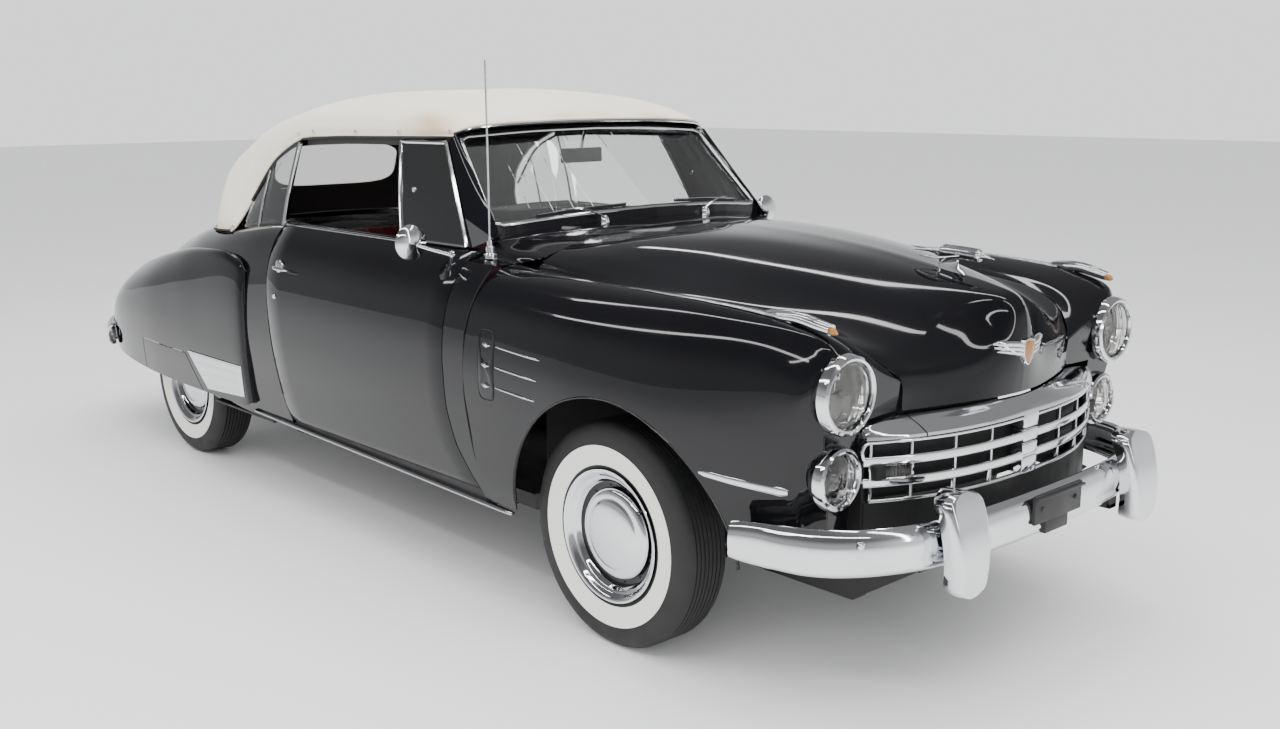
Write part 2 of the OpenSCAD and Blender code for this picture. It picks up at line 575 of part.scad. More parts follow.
// Rows of the bumper's face: [how far it stands back, share of the height]
bumper_face = [[20, -0.5], [4, -0.3], [0, 0], [4, 0.3], [20, 0.5]];
module bumper_bar(path, z, dir) {
  line = curve(path, 2);
  full = concat([for (p = reversed(line)) [p[0], -p[1]]], [for (k = [1 : len(line) - 1]) line[k]]);
  rings = [for (p = full) concat(
    [for (f = bumper_face) [p[0] - dir * f[0], p[1] * (1 - f[0] / 900), z + f[1] * bumper_h]],
    [for (f = reversed(bumper_face)) [p[0] - dir * (f[0] + 6), p[1] * (1 - (f[0] + 6) / 900), z + f[1] * bumper_h]])];
  loft(rings);
}

guard_y = 460;
module bumper_guard(x, y, dir) translate([x, y, 507]) rotate([90, 0, dir > 0 ? 0 : 180])
  translate([0, 0, -50]) linear_extrude(100)
  polygon(closed_curve([[-8, -135], [10, -138], [24, -60], [30, 60], [24, 136], [-6, 138]], 3));

module front_bumper() color(chrome) {
  bumper_bar(front_bumper_path, bumper_z, 1);
  both_sides() {
    bumper_guard(bumper_front_x - 18 + 6, guard_y, 1);
    block([2400.5, rail_front_y - 50, bumper_z - 135], [2410, rail_front_y - 10, bumper_z - 74]);
    block([2405, rail_front_y - 50, bumper_z - 90], [2552, rail_front_y - 10, bumper_z - 74]);
    block([2540, rail_front_y - 50, bumper_z - 90], [2552, rail_front_y - 10, bumper_z + 20]);
  }
}

module rear_bumper() color(chrome) {
  bumper_bar(rear_bumper_path, 470, -1);
  both_sides() {
    bumper_guard(bumper_rear_x + 12, 380, -1);
    block([-2554, rail_front_y - 50, 450], [-2350.3, rail_front_y - 10, 490]);
  }
}

headlamp_at = [2348, 680, 902];
fog_at = [2318, 672, 671];
lamp_back = 0.8;
module lamp(at, r, depth) translate(at) rotate([0, 90, 0]) rotate_extrude()
  polygon([[0, -depth], [r * lamp_back, -depth], [r * lamp_back, 0], [r, 0], [r, 12], [r * 0.82, 26], [r * 0.5, 34], [0, 38]]);

module headlamps() color(chrome) both_sides() lamp(headlamp_at, headlamp_r, 60);
module fog_lamps() color(chrome) both_sides() lamp(fog_at, fog_r, 50);
module plate_bracket() color(steel) difference() {
  block([bumper_front_x + seat_gap, -120, 482], [bumper_front_x + 6, 120, 558]);
  for (y = [-89, 89])
    translate([0, y, 520]) rod_x(3.5, bumper_front_x - 1, bumper_front_x + 7);
}

module tail_lamps() color([0.5, 0.02, 0.02]) both_sides() translate([-2445.5, 604, 540]) rotate([0, -90, 0])
  cylinder(r1 = 30, r2 = 10, h = 20);

// ---- nodes: windshield, windows and top ----

ws_low = [[822, 654, 1204], [895, 330, 1228], [925, 0, 1236]];
ws_high = [[523, 590, 1520], [552, 300, 1536], [562, 0, 1542]];
function ws_point(v, u) = let (a = curve(ws_low, 4)[v], b = curve(ws_high, 4)[v]) a + (b - a) * u;
glass_rows = [for (u = [0.03, 0.5, 0.96]) [for (v = [0 : 8]) ws_point(v, u)]];

module windshield() color([0.6, 0.7, 0.7, 0.4]) difference() {
  panel(closed_over(inset_grid_sides(glass_rows)), glass_t);
  for (d = [[-1, -1, -1], [1, 1, -1], [-1, 1, 1], [1, -1, 1]])
    translate(seat_gap * d) windshield_frame();
}

// Glass rows drawn in from the posts
function inset_grid_sides(g) = [for (r = g) [for (j = [0 : len(r) - 1])
  j == 0 ? r[0] + 4 * unit(r[1] - r[0]) : r[j]]];

post_ring = [[-26, -14], [-20, 14], [12, 14], [22, -10]];
module post(a, b) loft([for (p = [a, b]) [for (q = post_ring) p + [q[0] - 8, q[1] + 10, 0]]]);

module windshield_frame() color(paint) {
  difference() {
    union() {
      both_sides() post(ws_low[0] + [31, 0, -30], ws_high[0] + [0, 0, -10]);
      windshield_sill();
    }
    scuttle_trim();
  }
  header = closed_over([curve(ws_high, 4)])[0];
  loft([for (p = header) [p + [-30, 0, -8], p + [-26, 0, 14], p + [4, 0, 8], p + [14, 0, -14]]]);
}

module windshield_sill() {
  lower = closed_over([curve(ws_low, 4)])[0];
  loft([for (p = lower) [p + [-22, 0, -30], p + [-22, 0, 14], p + [-2, 0, 16], p + [16, 0, -30]]]);
}

rear_window_half = 330;
module rear_window_hole(grow) translate([-1600, 0, 1320]) rotate([90, 0, 90]) linear_extrude(700)
  polygon(closed_curve([for (q = [[-1, -0.75], [-0.8, -1], [0.8, -1], [1, -0.75], [0.94, 0.75], [0.75, 1],
    [-0.75, 1], [-0.94, 0.75]]) [q[0] * (rear_window_half + grow), q[1] * (100 + grow)]], 2));

module soft_top() color(cloth) difference() {
  panel(top_grid, cloth_t);
  rear_window_hole(0);
  both_sides() body_trim([4, last_col]);
}

module rear_window() color([0.7, 0.75, 0.75, 0.4]) intersection() {
  panel(inner_grid(top_grid, 2), 3);
  rear_window_hole(-1);
}

// Cross bows that carry the cloth, each by its row in the top's grid
module bow(row) {
  line = inner_grid(top_grid, cloth_t + 0.9)[row];
  loft([for (k = [0 : len(line) - 1]) let (p = line[k], down = unit([0, -p[1], -500]))
    [p + [-14, 0, 0] + down * 1.5, p + [14, 0, 0] + down * 1.5, p + [14, 0, 0] + down * 14,
     p + [-14, 0, 0] + down * 14]]);
}

rail_line = [[488.5, 600, 1502], [380, 620, 1499], [100, 630, 1497], [-200, 636, 1492], [-430, 638, 1480]];
module top_bows() color(steel) {
  for (row = [4, 8])
    bow(row);
  both_sides() loft([for (p = rail_line)
    [p + [0, -12, 0], p + [0, 4, 0], p + [0, 4, -24], p + [0, -12, -24]]]);
}

// Quarter window: rows from the front upright to the pointed rear
quarter_glass = [
  [[-452, 752, 1136], [-448, 718, 1290], [-446, 665, 1466]],
  [[-640, 750, 1112], [-640, 716, 1260], [-640, 676, 1385]],
  [[-850, 742, 1078], [-835, 722, 1155], [-820, 702, 1215]]
];
module quarter_windows() color([0.5, 0.55, 0.55, 0.5]) both_sides() difference() {
  panel(surface_grid(quarter_glass, 2, 2), glass_t);
  body_trim([7, 10]);
}

// ---- nodes: inside ----

module seat_part(pts, half) prism_y(closed_curve(pts, 3), -half, half);

module front_seat() color([0.3, 0.05, 0.06]) {
  seat_part([[-230, 470], [-215, 640], [260, 660], [300, 600], [280, 480]], 640);
  seat_part([[-330, 560], [-440, 1000], [-420, 1075], [-350, 1060], [-240, 660], [-236, 560]], 630);
  block([-180, -600, floor_z + sheet], [240, -140, 472]);
  block([-180, 140, floor_z + sheet], [240, 600, 472]);
}

module rear_seat() color([0.3, 0.05, 0.06]) {
  seat_part([[-960, 500], [-950, 640], [-560, 660], [-530, 600], [-545, 480]], 520);
  seat_part([[-1040, 560], [-1160, 1000], [-1130, 1065], [-1060, 1050], [-965, 680], [-968, 560]], 520);
  both_sides() block([-940, 130, floor_z + sheet], [-570, 500, 492]);
}

module dashboard() color(paint) {
  prism_y(closed_curve([[800, 1010], [770, 1080], [790, 1150], [856, 1164], [868, 1120], [840, 1020]], 3), -590, 590);
  // braces to the firewall
  both_sides() block([850, 480, 1080], [1044 - seat_gap, 505, 1100]);
}

wheel_tilt = 38;
wheel_at = [455, 360, 1015];
module on_column() translate(wheel_at) rotate([0, 90 + wheel_tilt, 0]) children();

column_r = 19;
column_end = (1044 - seat_gap - column_r * sin(wheel_tilt) - wheel_at[0]) / cos(wheel_tilt);
module steering_column() color(steel) on_column() translate([0, 0, 8]) cylinder(r = column_r, h = column_end - 8);

module steering_wheel() color([0.05, 0.05, 0.05]) on_column() {
  rotate_extrude() translate([205, 0]) circle(r = 11);
  translate([0, 0, -20]) cylinder(r = 32, h = 27.7);
  for (a = [90, 210, 330])
    rotate([0, 0, a]) translate([25, -8, -6]) cube([172, 16, 9]);
}

module antenna() color(chrome) {
  difference() {
    translate([880, -712, 1110]) cylinder(r = 14, h = 44);
    scuttle_trim();
  }
  translate([880, -712, 1154]) cylinder(r = 3.2, h = 610);
}

// ---- nodes: doors ----

mirror_at = [677, 880, 1172];
module door() color(paint) difference() {
  between_grids(door_grid, shift_grid(door_grid, [0, -door_t, 0]));
  // slot that the window glass drops into
  block([-380, 725, 560], [400, 733, belt_z + 5]);
}
module door_left() door();
module door_right() mirror([0, 1, 0]) door();

vent_rows = [
  [[780, 738, 1144], [655, 688, 1325], [534, 640, 1492]],
  [[400, 746, 1144], [330, 700, 1325], [262, 648, 1490]]
];
module vent_window() color(chrome) difference() {
  panel(surface_grid(vent_rows, 2, 2), 12);
  block([200, 600, belt_z - 40], [900, 800, belt_z + seat_gap]);
}
module vent_window_left() vent_window();
module vent_window_right() mirror([0, 1, 0]) vent_window();

module door_mirror() color(chrome) {
  translate(mirror_at) rotate([0, 90, 0]) translate([0, 0, -12]) rotate_extrude()
    polygon([[0, -2], [58, -2], [60, 2], [50, 14], [30, 22], [0, 26]]);
  bar([mirror_at[0] + 8, mirror_at[1], 1124], [mirror_at[0] + 8, mirror_at[1] - 6, 1140], 5);
  bar([mirror_at[0] + 8, 802.9, 1101.5], [mirror_at[0] + 8, mirror_at[1], 1140], 6);
}
module mirror_left() door_mirror();
module mirror_right() mirror([0, 1, 0]) door_mirror();

// ---- nodes: wheels ----

knuckle_in = front_track / 2 - kingpin_y;
module knuckle() color(steel) translate([front_x, kingpin_y, 0]) {
  translate([0, 0, rail_z + 12]) cylinder(r = 24, h = 230);
  translate([0, 0, axle_z]) rod_y(spindle_r, 0, knuckle_in + hub_face - seat_gap);
}
module knuckle_left() knuckle();
module knuckle_right() mirror([0, 1, 0]) knuckle();

// Wheel profile as [radius, offset outwards from the tyre's middle]
module road_wheel(x, track) color(steel) translate([x, track / 2, axle_z]) rotate([-90, 0, 0]) rotate_extrude()
  polygon([[spindle_r + 0.3, 12], [60, 12], [70, 34], [cap_r, 38], [170, 20], [176, -70], [192, -80],
    [rim_r, -84], [rim_r, -78], [196, -70], [186, -30], [186, 30], [196, 70], [rim_r, 78], [rim_r, 84], [192, 80],
    [178, 62], [165, 48], [cap_r, 50], [110, 66], [60, 76], [0, 80], [0, hub_face], [spindle_r + 0.3, hub_face]]);

module tyre_at(x, track) color([0.03, 0.03, 0.03]) translate([x, track / 2, axle_z]) rotate([-90, 0, 0])
  rotate_extrude() polygon([[rim_r + 0.5, -78], [240, -86], [280, -tyre_w / 2], [318, -86], [tyre_r - 8, -74],
    [tyre_r, -58], [tyre_r, 58], [tyre_r - 8, 74], [318, 86], [280, tyre_w / 2], [240, 86], [rim_r + 0.5, 78],
    [199, 62], [190, 40], [190, -40], [199, -62]]);

module wheel_front_left() road_wheel(front_x, front_track);
module wheel_front_right() mirror([0, 1, 0]) road_wheel(front_x, front_track);
module wheel_rear_left() road_wheel(rear_x, rear_track);
module wheel_rear_right() mirror([0, 1, 0]) road_wheel(rear_x, rear_track);
module tyre_front_left() tyre_at(front_x, front_track);
module tyre_front_right() mirror([0, 1, 0]) tyre_at(front_x, front_track);
module tyre_rear_left() tyre_at(rear_x, rear_track);
module tyre_rear_right() mirror([0, 1, 0]) tyre_at(rear_x, rear_track);

frame();
floor_pan();
cowl();
front_fenders();
rear_fenders();
fender_skirts();
rear_body();
nose_panel();
grille();
front_bumper();
plate_bracket();
rear_bumper();
headlamps();
fog_lamps();
tail_lamps();
windshield_frame();
windshield();
soft_top();
top_bows();
rear_window();
quarter_windows();
front_seat();
rear_seat();
dashboard();
steering_column();
engine();
radiator();
driveshaft();
rear_axle();
rear_springs();
front_suspension();
exhaust();
fuel_tank();
wheel_houses();
antenna();
door_left();
door_right();
vent_window_left();
vent_window_right();
mirror_left();
mirror_right();
hood();
trunk_lid();
steering_wheel();
knuckle_left();
knuckle_right();
wheel_front_left();
wheel_front_right();
wheel_rear_left();
wheel_rear_right();
tyre_front_left();
tyre_front_right();
tyre_rear_left();
tyre_rear_right();
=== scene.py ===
import logging
from dataclasses import dataclass
from enum import Enum
from math import copysign, cos, exp, hypot, pi, radians, sin, sqrt
from typing import Callable, Iterable, Optional, Sequence

import bmesh
import bpy
import numpy as np
from mathutils import Matrix, Vector
from mathutils.bvhtree import BVHTree


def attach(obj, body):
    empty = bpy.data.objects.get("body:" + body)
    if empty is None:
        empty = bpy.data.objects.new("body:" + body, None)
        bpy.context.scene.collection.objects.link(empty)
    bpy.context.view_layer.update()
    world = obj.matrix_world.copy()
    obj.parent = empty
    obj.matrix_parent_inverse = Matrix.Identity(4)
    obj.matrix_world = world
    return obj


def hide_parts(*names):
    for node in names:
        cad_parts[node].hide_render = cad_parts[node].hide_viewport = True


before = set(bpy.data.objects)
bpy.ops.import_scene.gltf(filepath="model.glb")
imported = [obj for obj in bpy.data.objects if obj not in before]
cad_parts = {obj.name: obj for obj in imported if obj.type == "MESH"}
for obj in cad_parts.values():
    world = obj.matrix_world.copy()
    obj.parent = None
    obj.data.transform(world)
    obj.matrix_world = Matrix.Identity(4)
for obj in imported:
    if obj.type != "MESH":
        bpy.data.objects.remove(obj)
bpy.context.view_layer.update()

MM = 0.001
ACROSS = np.array([1, -1, 1])
log = logging.getLogger("convertible")
logging.basicConfig(level=logging.INFO, format="%(message)s")

Point = Sequence[float]
Mesh = bpy.types.Object
Material = bpy.types.Material


class Body(str, Enum):
    """The moving bodies that pieces ride on."""

    ROOT = "root"
    DOOR_LEFT = "door_left"
    DOOR_RIGHT = "door_right"
    HOOD = "hood"
    TRUNK = "trunk_lid"


class Side(Enum):
    """Left is +Y and right is -Y."""

    LEFT = 1
    RIGHT = -1

    @property
    def word(self) -> str:
        """The side's name in piece names."""
        return self.name.lower()


# ---- curves and surfaces


def curve(points: Sequence, n: int) -> np.ndarray:
    """Points of a Catmull-Rom line through points, or rows of them, with n steps between neighbours."""
    p = np.asarray(points, float)
    p = np.concatenate([[2 * p[0] - p[1]], p, [2 * p[-1] - p[-2]]])
    out = []
    for i in range(len(p) - 3):
        a, b, c, d = p[i : i + 4]
        for k in range(n):
            t = k / n
            bend = (2 * a - 5 * b + 4 * c - d) * t * t
            out.append(0.5 * (2 * b + (c - a) * t + bend + (3 * b - a - 3 * c + d) * t**3))
    out.append(p[-2])
    return np.array(out)


def surface_grid(rows: Sequence, nu: int, nv: int) -> np.ndarray:
    """Smooth grid through rows of points, with nu steps between rows and nv along each."""
    along = np.array([curve(r, nv) for r in rows])
    return curve(along, nu)


def stations(listed: Sequence) -> list:
    """Rows of 3D points from stations (x, [(y, z), ...], lean), leaning forward above lamp height."""
    rows = []
    for x, section, *lean in listed:
        slope = lean[0] if lean else 0
        rows.append([[x + slope * (z - LAMP_Z), y, z] for y, z in section])
    return rows


def closed_over(grid: np.ndarray) -> np.ndarray:
    """A grid that ends on the centre line, continued on the other side."""
    other = grid[:, -2::-1] * ACROSS
    return np.concatenate([grid, other], axis=1)


def grid_normals(grid: np.ndarray) -> np.ndarray:
    """Unit normals of a grid, outwards by its row and column order."""
    du = np.gradient(grid, axis=0)
    dv = np.gradient(grid, axis=1)
    n = np.cross(du, dv)
    return n / np.maximum(np.linalg.norm(n, axis=2, keepdims=True), 1e-9)


def lookup(x: float, table: Sequence) -> float:
    """Linear table of (x, y) pairs."""
    t = np.array(table, float)
    return float(np.interp(x, t[:, 0], t[:, 1]))


# ---- mesh workshop


def deselect() -> None:
    """Leaves nothing selected and no mesh in edit mode."""
    if bpy.context.object and bpy.context.object.mode != "OBJECT":
        bpy.ops.object.mode_set(mode="OBJECT")
    bpy.ops.object.select_all(action="DESELECT")


def activate(obj: Mesh) -> None:
    """Makes obj the only selected and the active object."""
    deselect()
    obj.select_set(True)
    bpy.context.view_layer.objects.active = obj


def modify(obj: Mesh, kind: str, **settings) -> Mesh:
    """Applies one modifier with these settings to obj."""
    m = obj.modifiers.new(kind.lower(), kind)
    for key, value in settings.items():
        setattr(m, key, value)
    return apply_modifiers(obj)


def apply_modifiers(obj: Mesh) -> Mesh:
    """Applies every modifier of obj in order."""
    activate(obj)
    for m in list(obj.modifiers):
        bpy.ops.object.modifier_apply(modifier=m.name)
    return obj


def bake_place(obj: Mesh) -> Mesh:
    """Moves obj's place, turn and scale into its mesh."""
    activate(obj)
    bpy.ops.object.transform_apply(location=True, rotation=True, scale=True)
    return obj


def new_mesh(name: str, verts: Iterable, faces: Iterable) -> Mesh:
    """A linked mesh object from points in millimetres and faces counter-clockwise from outside."""
    data = bpy.data.meshes.new(name)
    data.from_pydata([tuple(float(c) * MM for c in v) for v in verts], [], [tuple(int(i) for i in f)
        for f in faces])
    data.update()
    return linked(name, data)


def linked(name: str, data: bpy.types.ID) -> bpy.types.Object:
    """A new object with this data, in the scene."""
    obj = bpy.data.objects.new(name, data)
    bpy.context.scene.collection.objects.link(obj)
    return obj


def smooth(obj: Mesh, degrees: float = 40) -> Mesh:
    """Shades obj smooth, with edges sharper than the angle kept."""
    activate(obj)
    bpy.ops.object.shade_smooth_by_angle(angle=radians(degrees))
    return obj


def grid_part(grid: np.ndarray, base: int = 0, keep: Optional[Callable[[int, int], bool]] = None) -> tuple:
    """Vertices and quads of a grid; keep(i, j) says which cells stay."""
    nr, nc = grid.shape[:2]
    faces = []
    for i in range(nr - 1):
        for j in range(nc - 1):
            k = base + i * nc + j
            if not keep or keep(i, j):
                faces.append([k, k + nc, k + nc + 1, k + 1])
    return grid.reshape(-1, 3), faces


def sheet_metal(name: str, grids: Sequence[np.ndarray], thick: float = 4.0, mirror: bool = False,
        keep: Optional[Callable[[int, int], bool]] = None, extra: Sequence = ()) -> Mesh:
    """A pressed panel of one or more grids that share edges, thickened inwards.

    keep says which cells stay, extra holds flat outlines that join their edges, mirror adds the other half.
    """
    verts, faces = [], []
    for g in grids:
        v, f = grid_part(g, len(verts), keep)
        verts += list(v)
        faces += f
    for outline in extra:
        faces.append([len(verts) + k for k in range(len(outline))])
        verts += list(outline)
    if mirror:
        n = len(verts)
        verts += [(v[0], -v[1], v[2]) for v in verts]
        faces += [[k + n for k in f[::-1]] for f in faces]
    obj = new_mesh(name, verts, faces)
    weld(obj, 0.0002)
    if thick:
        modify(obj, "SOLIDIFY", thickness=thick * MM, offset=-1)
    return smooth(obj)


def weld(obj: Mesh, dist: float, outward: bool = False) -> None:
    """Merges doubled points, drops loose ones, and turns faces outward if asked."""
    bm = bmesh.new()
    bm.from_mesh(obj.data)
    bmesh.ops.remove_doubles(bm, verts=bm.verts, dist=dist)
    loose = [v for v in bm.verts if not v.link_faces]
    bmesh.ops.delete(bm, geom=loose, context="VERTS")
    if outward:
        bmesh.ops.recalc_face_normals(bm, faces=bm.faces)
    bm.to_mesh(obj.data)
    bm.free()


def loft(name: str, rings: Sequence) -> Mesh:
    """A solid through closed rings of points, with its ends capped and its faces turned outward."""
    r = np.asarray(rings, float)
    m, n = r.shape[:2]
    faces = []
    for i in range(m - 1):
        for j in range(n):
            a, b = i * n + j, i * n + (j + 1) % n
            faces.append([a, b, b + n, a + n])
    faces.append(list(range(n))[::-1])
    faces.append([(m - 1) * n + j for j in range(n)])
    obj = new_mesh(name, r.reshape(-1, 3), faces)
    weld(obj, 0.00005, outward=True)
    return smooth(obj)


def revolve(name: str, profile: Sequence, at: Point, axis: str = "Y", steps: int = 64,
        flip: float = 1.0) -> Mesh:
    """A closed turned piece: (radius, along) points spun about an axis through at; flip -1 turns it round."""
    deselect()
    obj = new_mesh(name, [(p[0], 0, p[1] * flip) for p in profile], [])
    bm = bmesh.new()
    bm.from_mesh(obj.data)
    bm.verts.ensure_lookup_table()
    for a, b in zip(bm.verts[:-1], bm.verts[1:]):
        bm.edges.new((a, b))
    bmesh.ops.spin(bm, geom=list(bm.verts) + list(bm.edges), cent=(0, 0, 0), axis=(0, 0, 1), angle=2 * pi,
        steps=steps, use_merge=True)
    bmesh.ops.remove_doubles(bm, verts=bm.verts, dist=1e-5)
    turn = {"X": Matrix.Rotation(pi / 2, 4, "Y"), "Y": Matrix.Rotation(-pi / 2, 4, "X"),
            "Z": Matrix.Identity(4)}[axis]
    bmesh.ops.transform(bm, matrix=Matrix.Translation(Vector(at) * MM) @ turn, verts=bm.verts)
    bmesh.ops.recalc_face_normals(bm, faces=bm.faces)
    bm.to_mesh(obj.data)
    bm.free()
    return smooth(obj, 35)


def tube(name: str, points: Sequence, radius: float, n: int = 4, sides: int = 12,
         taper: Optional[Sequence[float]] = None, flat: float = 1.0, up: Point = (0, 0, 1)) -> Mesh:
    """A closed bar along a smooth line through points, with n steps between them.

    taper gives the share of the radius at each point, flat the section's height, along up, over its width.
    """
    line = curve(points, n) if n > 1 else np.asarray(points, float)
    share = taper or [1] * len(points)
    size = curve([[t] for t in share], n)[:, 0] if n > 1 else np.array(share)
    turn = np.linspace(0, 2 * pi, sides, endpoint=False)
    rings = []
    for p, d, s in zip(line, np.gradient(line, axis=0), size):
        d = d / max(np.linalg.norm(d), 1e-9)
        side = np.cross(d, up)
        side = side / max(np.linalg.norm(side), 1e-9)
        top = np.cross(side, d)
        r = radius * max(s, 0.02)
        rings.append([p + side * r * cos(a) + top * r * flat * sin(a) for a in turn])
    return loft(name, rings)


def block(name: str, low: Point, high: Point) -> Mesh:
    """A plain block between two corners."""
    low, high = Vector(low) * MM, Vector(high) * MM
    deselect()
    bpy.ops.mesh.primitive_cube_add(size=1, location=(low + high) / 2, scale=high - low)
    bpy.context.object.name = name
    return bake_place(bpy.context.object)


def bevelled(obj: Mesh, width: float, segments: int = 2) -> Mesh:
    """Rounds every edge of obj."""
    activate(obj)
    bpy.ops.object.mode_set(mode="EDIT")
    bpy.ops.mesh.select_all(action="SELECT")
    bpy.ops.mesh.bevel(offset=width * MM, segments=segments, affect="EDGES")
    bpy.ops.object.mode_set(mode="OBJECT")
    return obj


def box_piece(name: str, low: Point, high: Point, bevel: float = 2.0, segments: int = 2) -> Mesh:
    """A bevelled block between two corners."""
    return smooth(bevelled(block(name, low, high), bevel, segments))


def prism(name: str, outline: Sequence, y0: float, y1: float) -> Mesh:
    """A block along Y from an outline of (x, z)."""
    n = len(outline)
    verts = [(x, y, z) for y in (y0, y1) for x, z in outline]
    walls = [[(k + 1) % n, k, k + n, (k + 1) % n + n] for k in range(n)]
    obj = new_mesh(name, verts, [list(range(n)), [n + k for k in range(n)][::-1]] + walls)
    weld(obj, 1e-6, outward=True)
    return obj


def carve(obj: Mesh, cutters: Sequence[Mesh], how: str = "DIFFERENCE") -> Mesh:
    """Cuts obj with closed pieces, which are then removed."""
    for c in cutters:
        modify(obj, "BOOLEAN", operation=how, solver="EXACT", object=c)
        bpy.data.objects.remove(c)
    return smooth(obj)


def cylinder_cutter(at: Point, radius: float, depth: float, axis: str = "Y") -> Mesh:
    """A closed cylinder centred at a point, to cut with."""
    deselect()
    turn = {"X": (0, pi / 2, 0), "Y": (pi / 2, 0, 0)}[axis]
    bpy.ops.mesh.primitive_cylinder_add(vertices=96, radius=radius * MM, depth=depth * MM,
        location=Vector(at) * MM, rotation=turn)
    return bake_place(bpy.context.object)


def twin(obj: Mesh, name: str) -> Mesh:
    """A copy of obj with its own mesh."""
    return linked(name, obj.data.copy())


def turn_over(obj: Mesh) -> Mesh:
    """Reflects obj's mesh to the other side."""
    obj.data.transform(Matrix.Scale(-1, 4, (0, 1, 0)))
    obj.data.flip_normals()
    return obj


def mirrored(obj: Mesh, name: str) -> Mesh:
    """A copy of obj on the other side."""
    return turn_over(twin(obj, name))


def join(name: str, pieces: Sequence[Mesh]) -> Mesh:
    """Joins pieces into one object, keeping their materials."""
    deselect()
    for p in pieces:
        p.select_set(True)
    bpy.context.view_layer.objects.active = pieces[0]
    bpy.ops.object.join()
    obj = bpy.context.object
    obj.name = name
    return obj


def both(pieces: Sequence[Mesh]) -> list:
    """The pieces and their mirrored copies."""
    return list(pieces) + [mirrored(p, p.name + "_other") for p in pieces]


def dress(obj: Mesh, material: Material) -> Mesh:
    """Puts one material on all of obj."""
    obj.data.materials.clear()
    obj.data.materials.append(material)
    return obj


def fit(obj: Mesh, body: str = Body.ROOT, stands_for: Sequence[str] = ()) -> Mesh:
    """Rides obj on its body and hides the nodes it stands for."""
    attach(obj, body.value if isinstance(body, Body) else body)
    if stands_for:
        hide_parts(*stands_for)
    return obj


# ---- finishes

REAL, COLOUR = "NodeSocketFloat", "NodeSocketColor"
GLASS_IOR, EVEN_LIGHT = 1.45, 1.45


def node_group(name: str, inputs: Sequence, outputs: Sequence) -> tuple:
    """A shader group from (name, socket type, default) and (name, socket type): tree, its values, its end."""
    tree = bpy.data.node_groups.new(name, "ShaderNodeTree")
    for n, kind, default in inputs:
        tree.interface.new_socket(n, in_out="INPUT", socket_type=kind).default_value = default
    for n, kind in outputs:
        tree.interface.new_socket(n, in_out="OUTPUT", socket_type=kind)
    return tree, tree.nodes.new("NodeGroupInput").outputs, tree.nodes.new("NodeGroupOutput")


def feed(tree: bpy.types.NodeTree, node: bpy.types.Node, inputs: dict) -> None:
    """Sets inputs of a node to values, or links them where a socket is given."""
    for key, value in inputs.items():
        if isinstance(value, bpy.types.NodeSocket):
            tree.links.new(value, node.inputs[key])
        else:
            node.inputs[key].default_value = value


def add_node(tree: bpy.types.NodeTree, kind: str, inputs: dict, **settings) -> bpy.types.NodeOutputs:
    """Adds a shader node with its settings and inputs, and returns its outputs."""
    node = tree.nodes.new(f"ShaderNode{kind}")
    for key, value in settings.items():
        setattr(node, key, value)
    feed(tree, node, inputs)
    return node.outputs


def blank_material(name: str) -> tuple:
    """A new material, its node tree and its shader."""
    mat = bpy.data.materials.new(name)
    mat.use_nodes = True
    return mat, mat.node_tree, mat.node_tree.nodes["Principled BSDF"]


def surface_marks() -> bpy.types.ShaderNodeTree:
    """Fine unevenness: a value between Low and High over the surface, and a matching bump height."""
    tree, given, end = node_group("surface_marks", [("Scale", REAL, 8.0), ("Low", REAL, 0.1),
        ("High", REAL, 0.2)],
        [("Value", REAL), ("Height", REAL)])
    where = add_node(tree, "TexCoord", {})["Object"]
    big = add_node(tree, "TexNoise", {"Detail": 6, "Vector": where, "Scale": given["Scale"]})
    fine = add_node(tree, "TexNoise", {"Scale": 260, "Vector": where})
    level = add_node(tree, "MapRange", {"Value": big["Fac"], "From Min": 0.3, "From Max": 0.7,
        "To Min": given["Low"], "To Max": given["High"]})
    feed(tree, end, {"Value": level["Result"], "Height": fine["Fac"]})
    return tree


def mottle() -> bpy.types.ShaderNodeTree:
    """Blends two colours by soft patches; Spread says how much of the second shows."""
    tree, given, end = node_group("mottle", [("First", COLOUR, (0.5, 0.5, 0.5, 1)), ("Second", COLOUR,
        (0.4, 0.4, 0.4, 1)),
        ("Scale", REAL, 5.0), ("Spread", REAL, 0.5)], [("Color", COLOUR)])
    where = add_node(tree, "TexCoord", {})["Object"]
    noise = add_node(tree, "TexNoise", {"Detail": 8, "Roughness": 0.62, "Vector": where,
        "Scale": given["Scale"]})
    share = add_node(tree, "MapRange", {"From Min": 0.42, "From Max": 0.75, "Value": noise["Fac"],
        "To Max": given["Spread"]})
    blend = add_node(tree, "Mix", {0: share["Result"], 6: given["First"], 7: given["Second"]},
        data_type="RGBA")
    feed(tree, end, {"Color": blend[2]})
    return tree


def weave() -> bpy.types.ShaderNodeTree:
    """Crossed threads as a height, with Scale threads in a metre."""
    tree, given, end = node_group("weave", [("Scale", REAL, 600.0)], [("Height", REAL)])
    where = add_node(tree, "TexCoord", {})["Object"]
    total = None
    for axis in ("X", "Y", "Z"):
        wave = add_node(tree, "TexWave", {"Distortion": 0.6, "Detail": 1, "Vector": where,
            "Scale": given["Scale"]},
            bands_direction=axis)["Fac"]
        total = wave if total is None else add_node(tree, "Math", {0: total, 1: wave}, operation="ADD")[0]
    feed(tree, end, {"Height": total})
    return tree


MARKS, MOTTLE, WEAVE = surface_marks(), mottle(), weave()


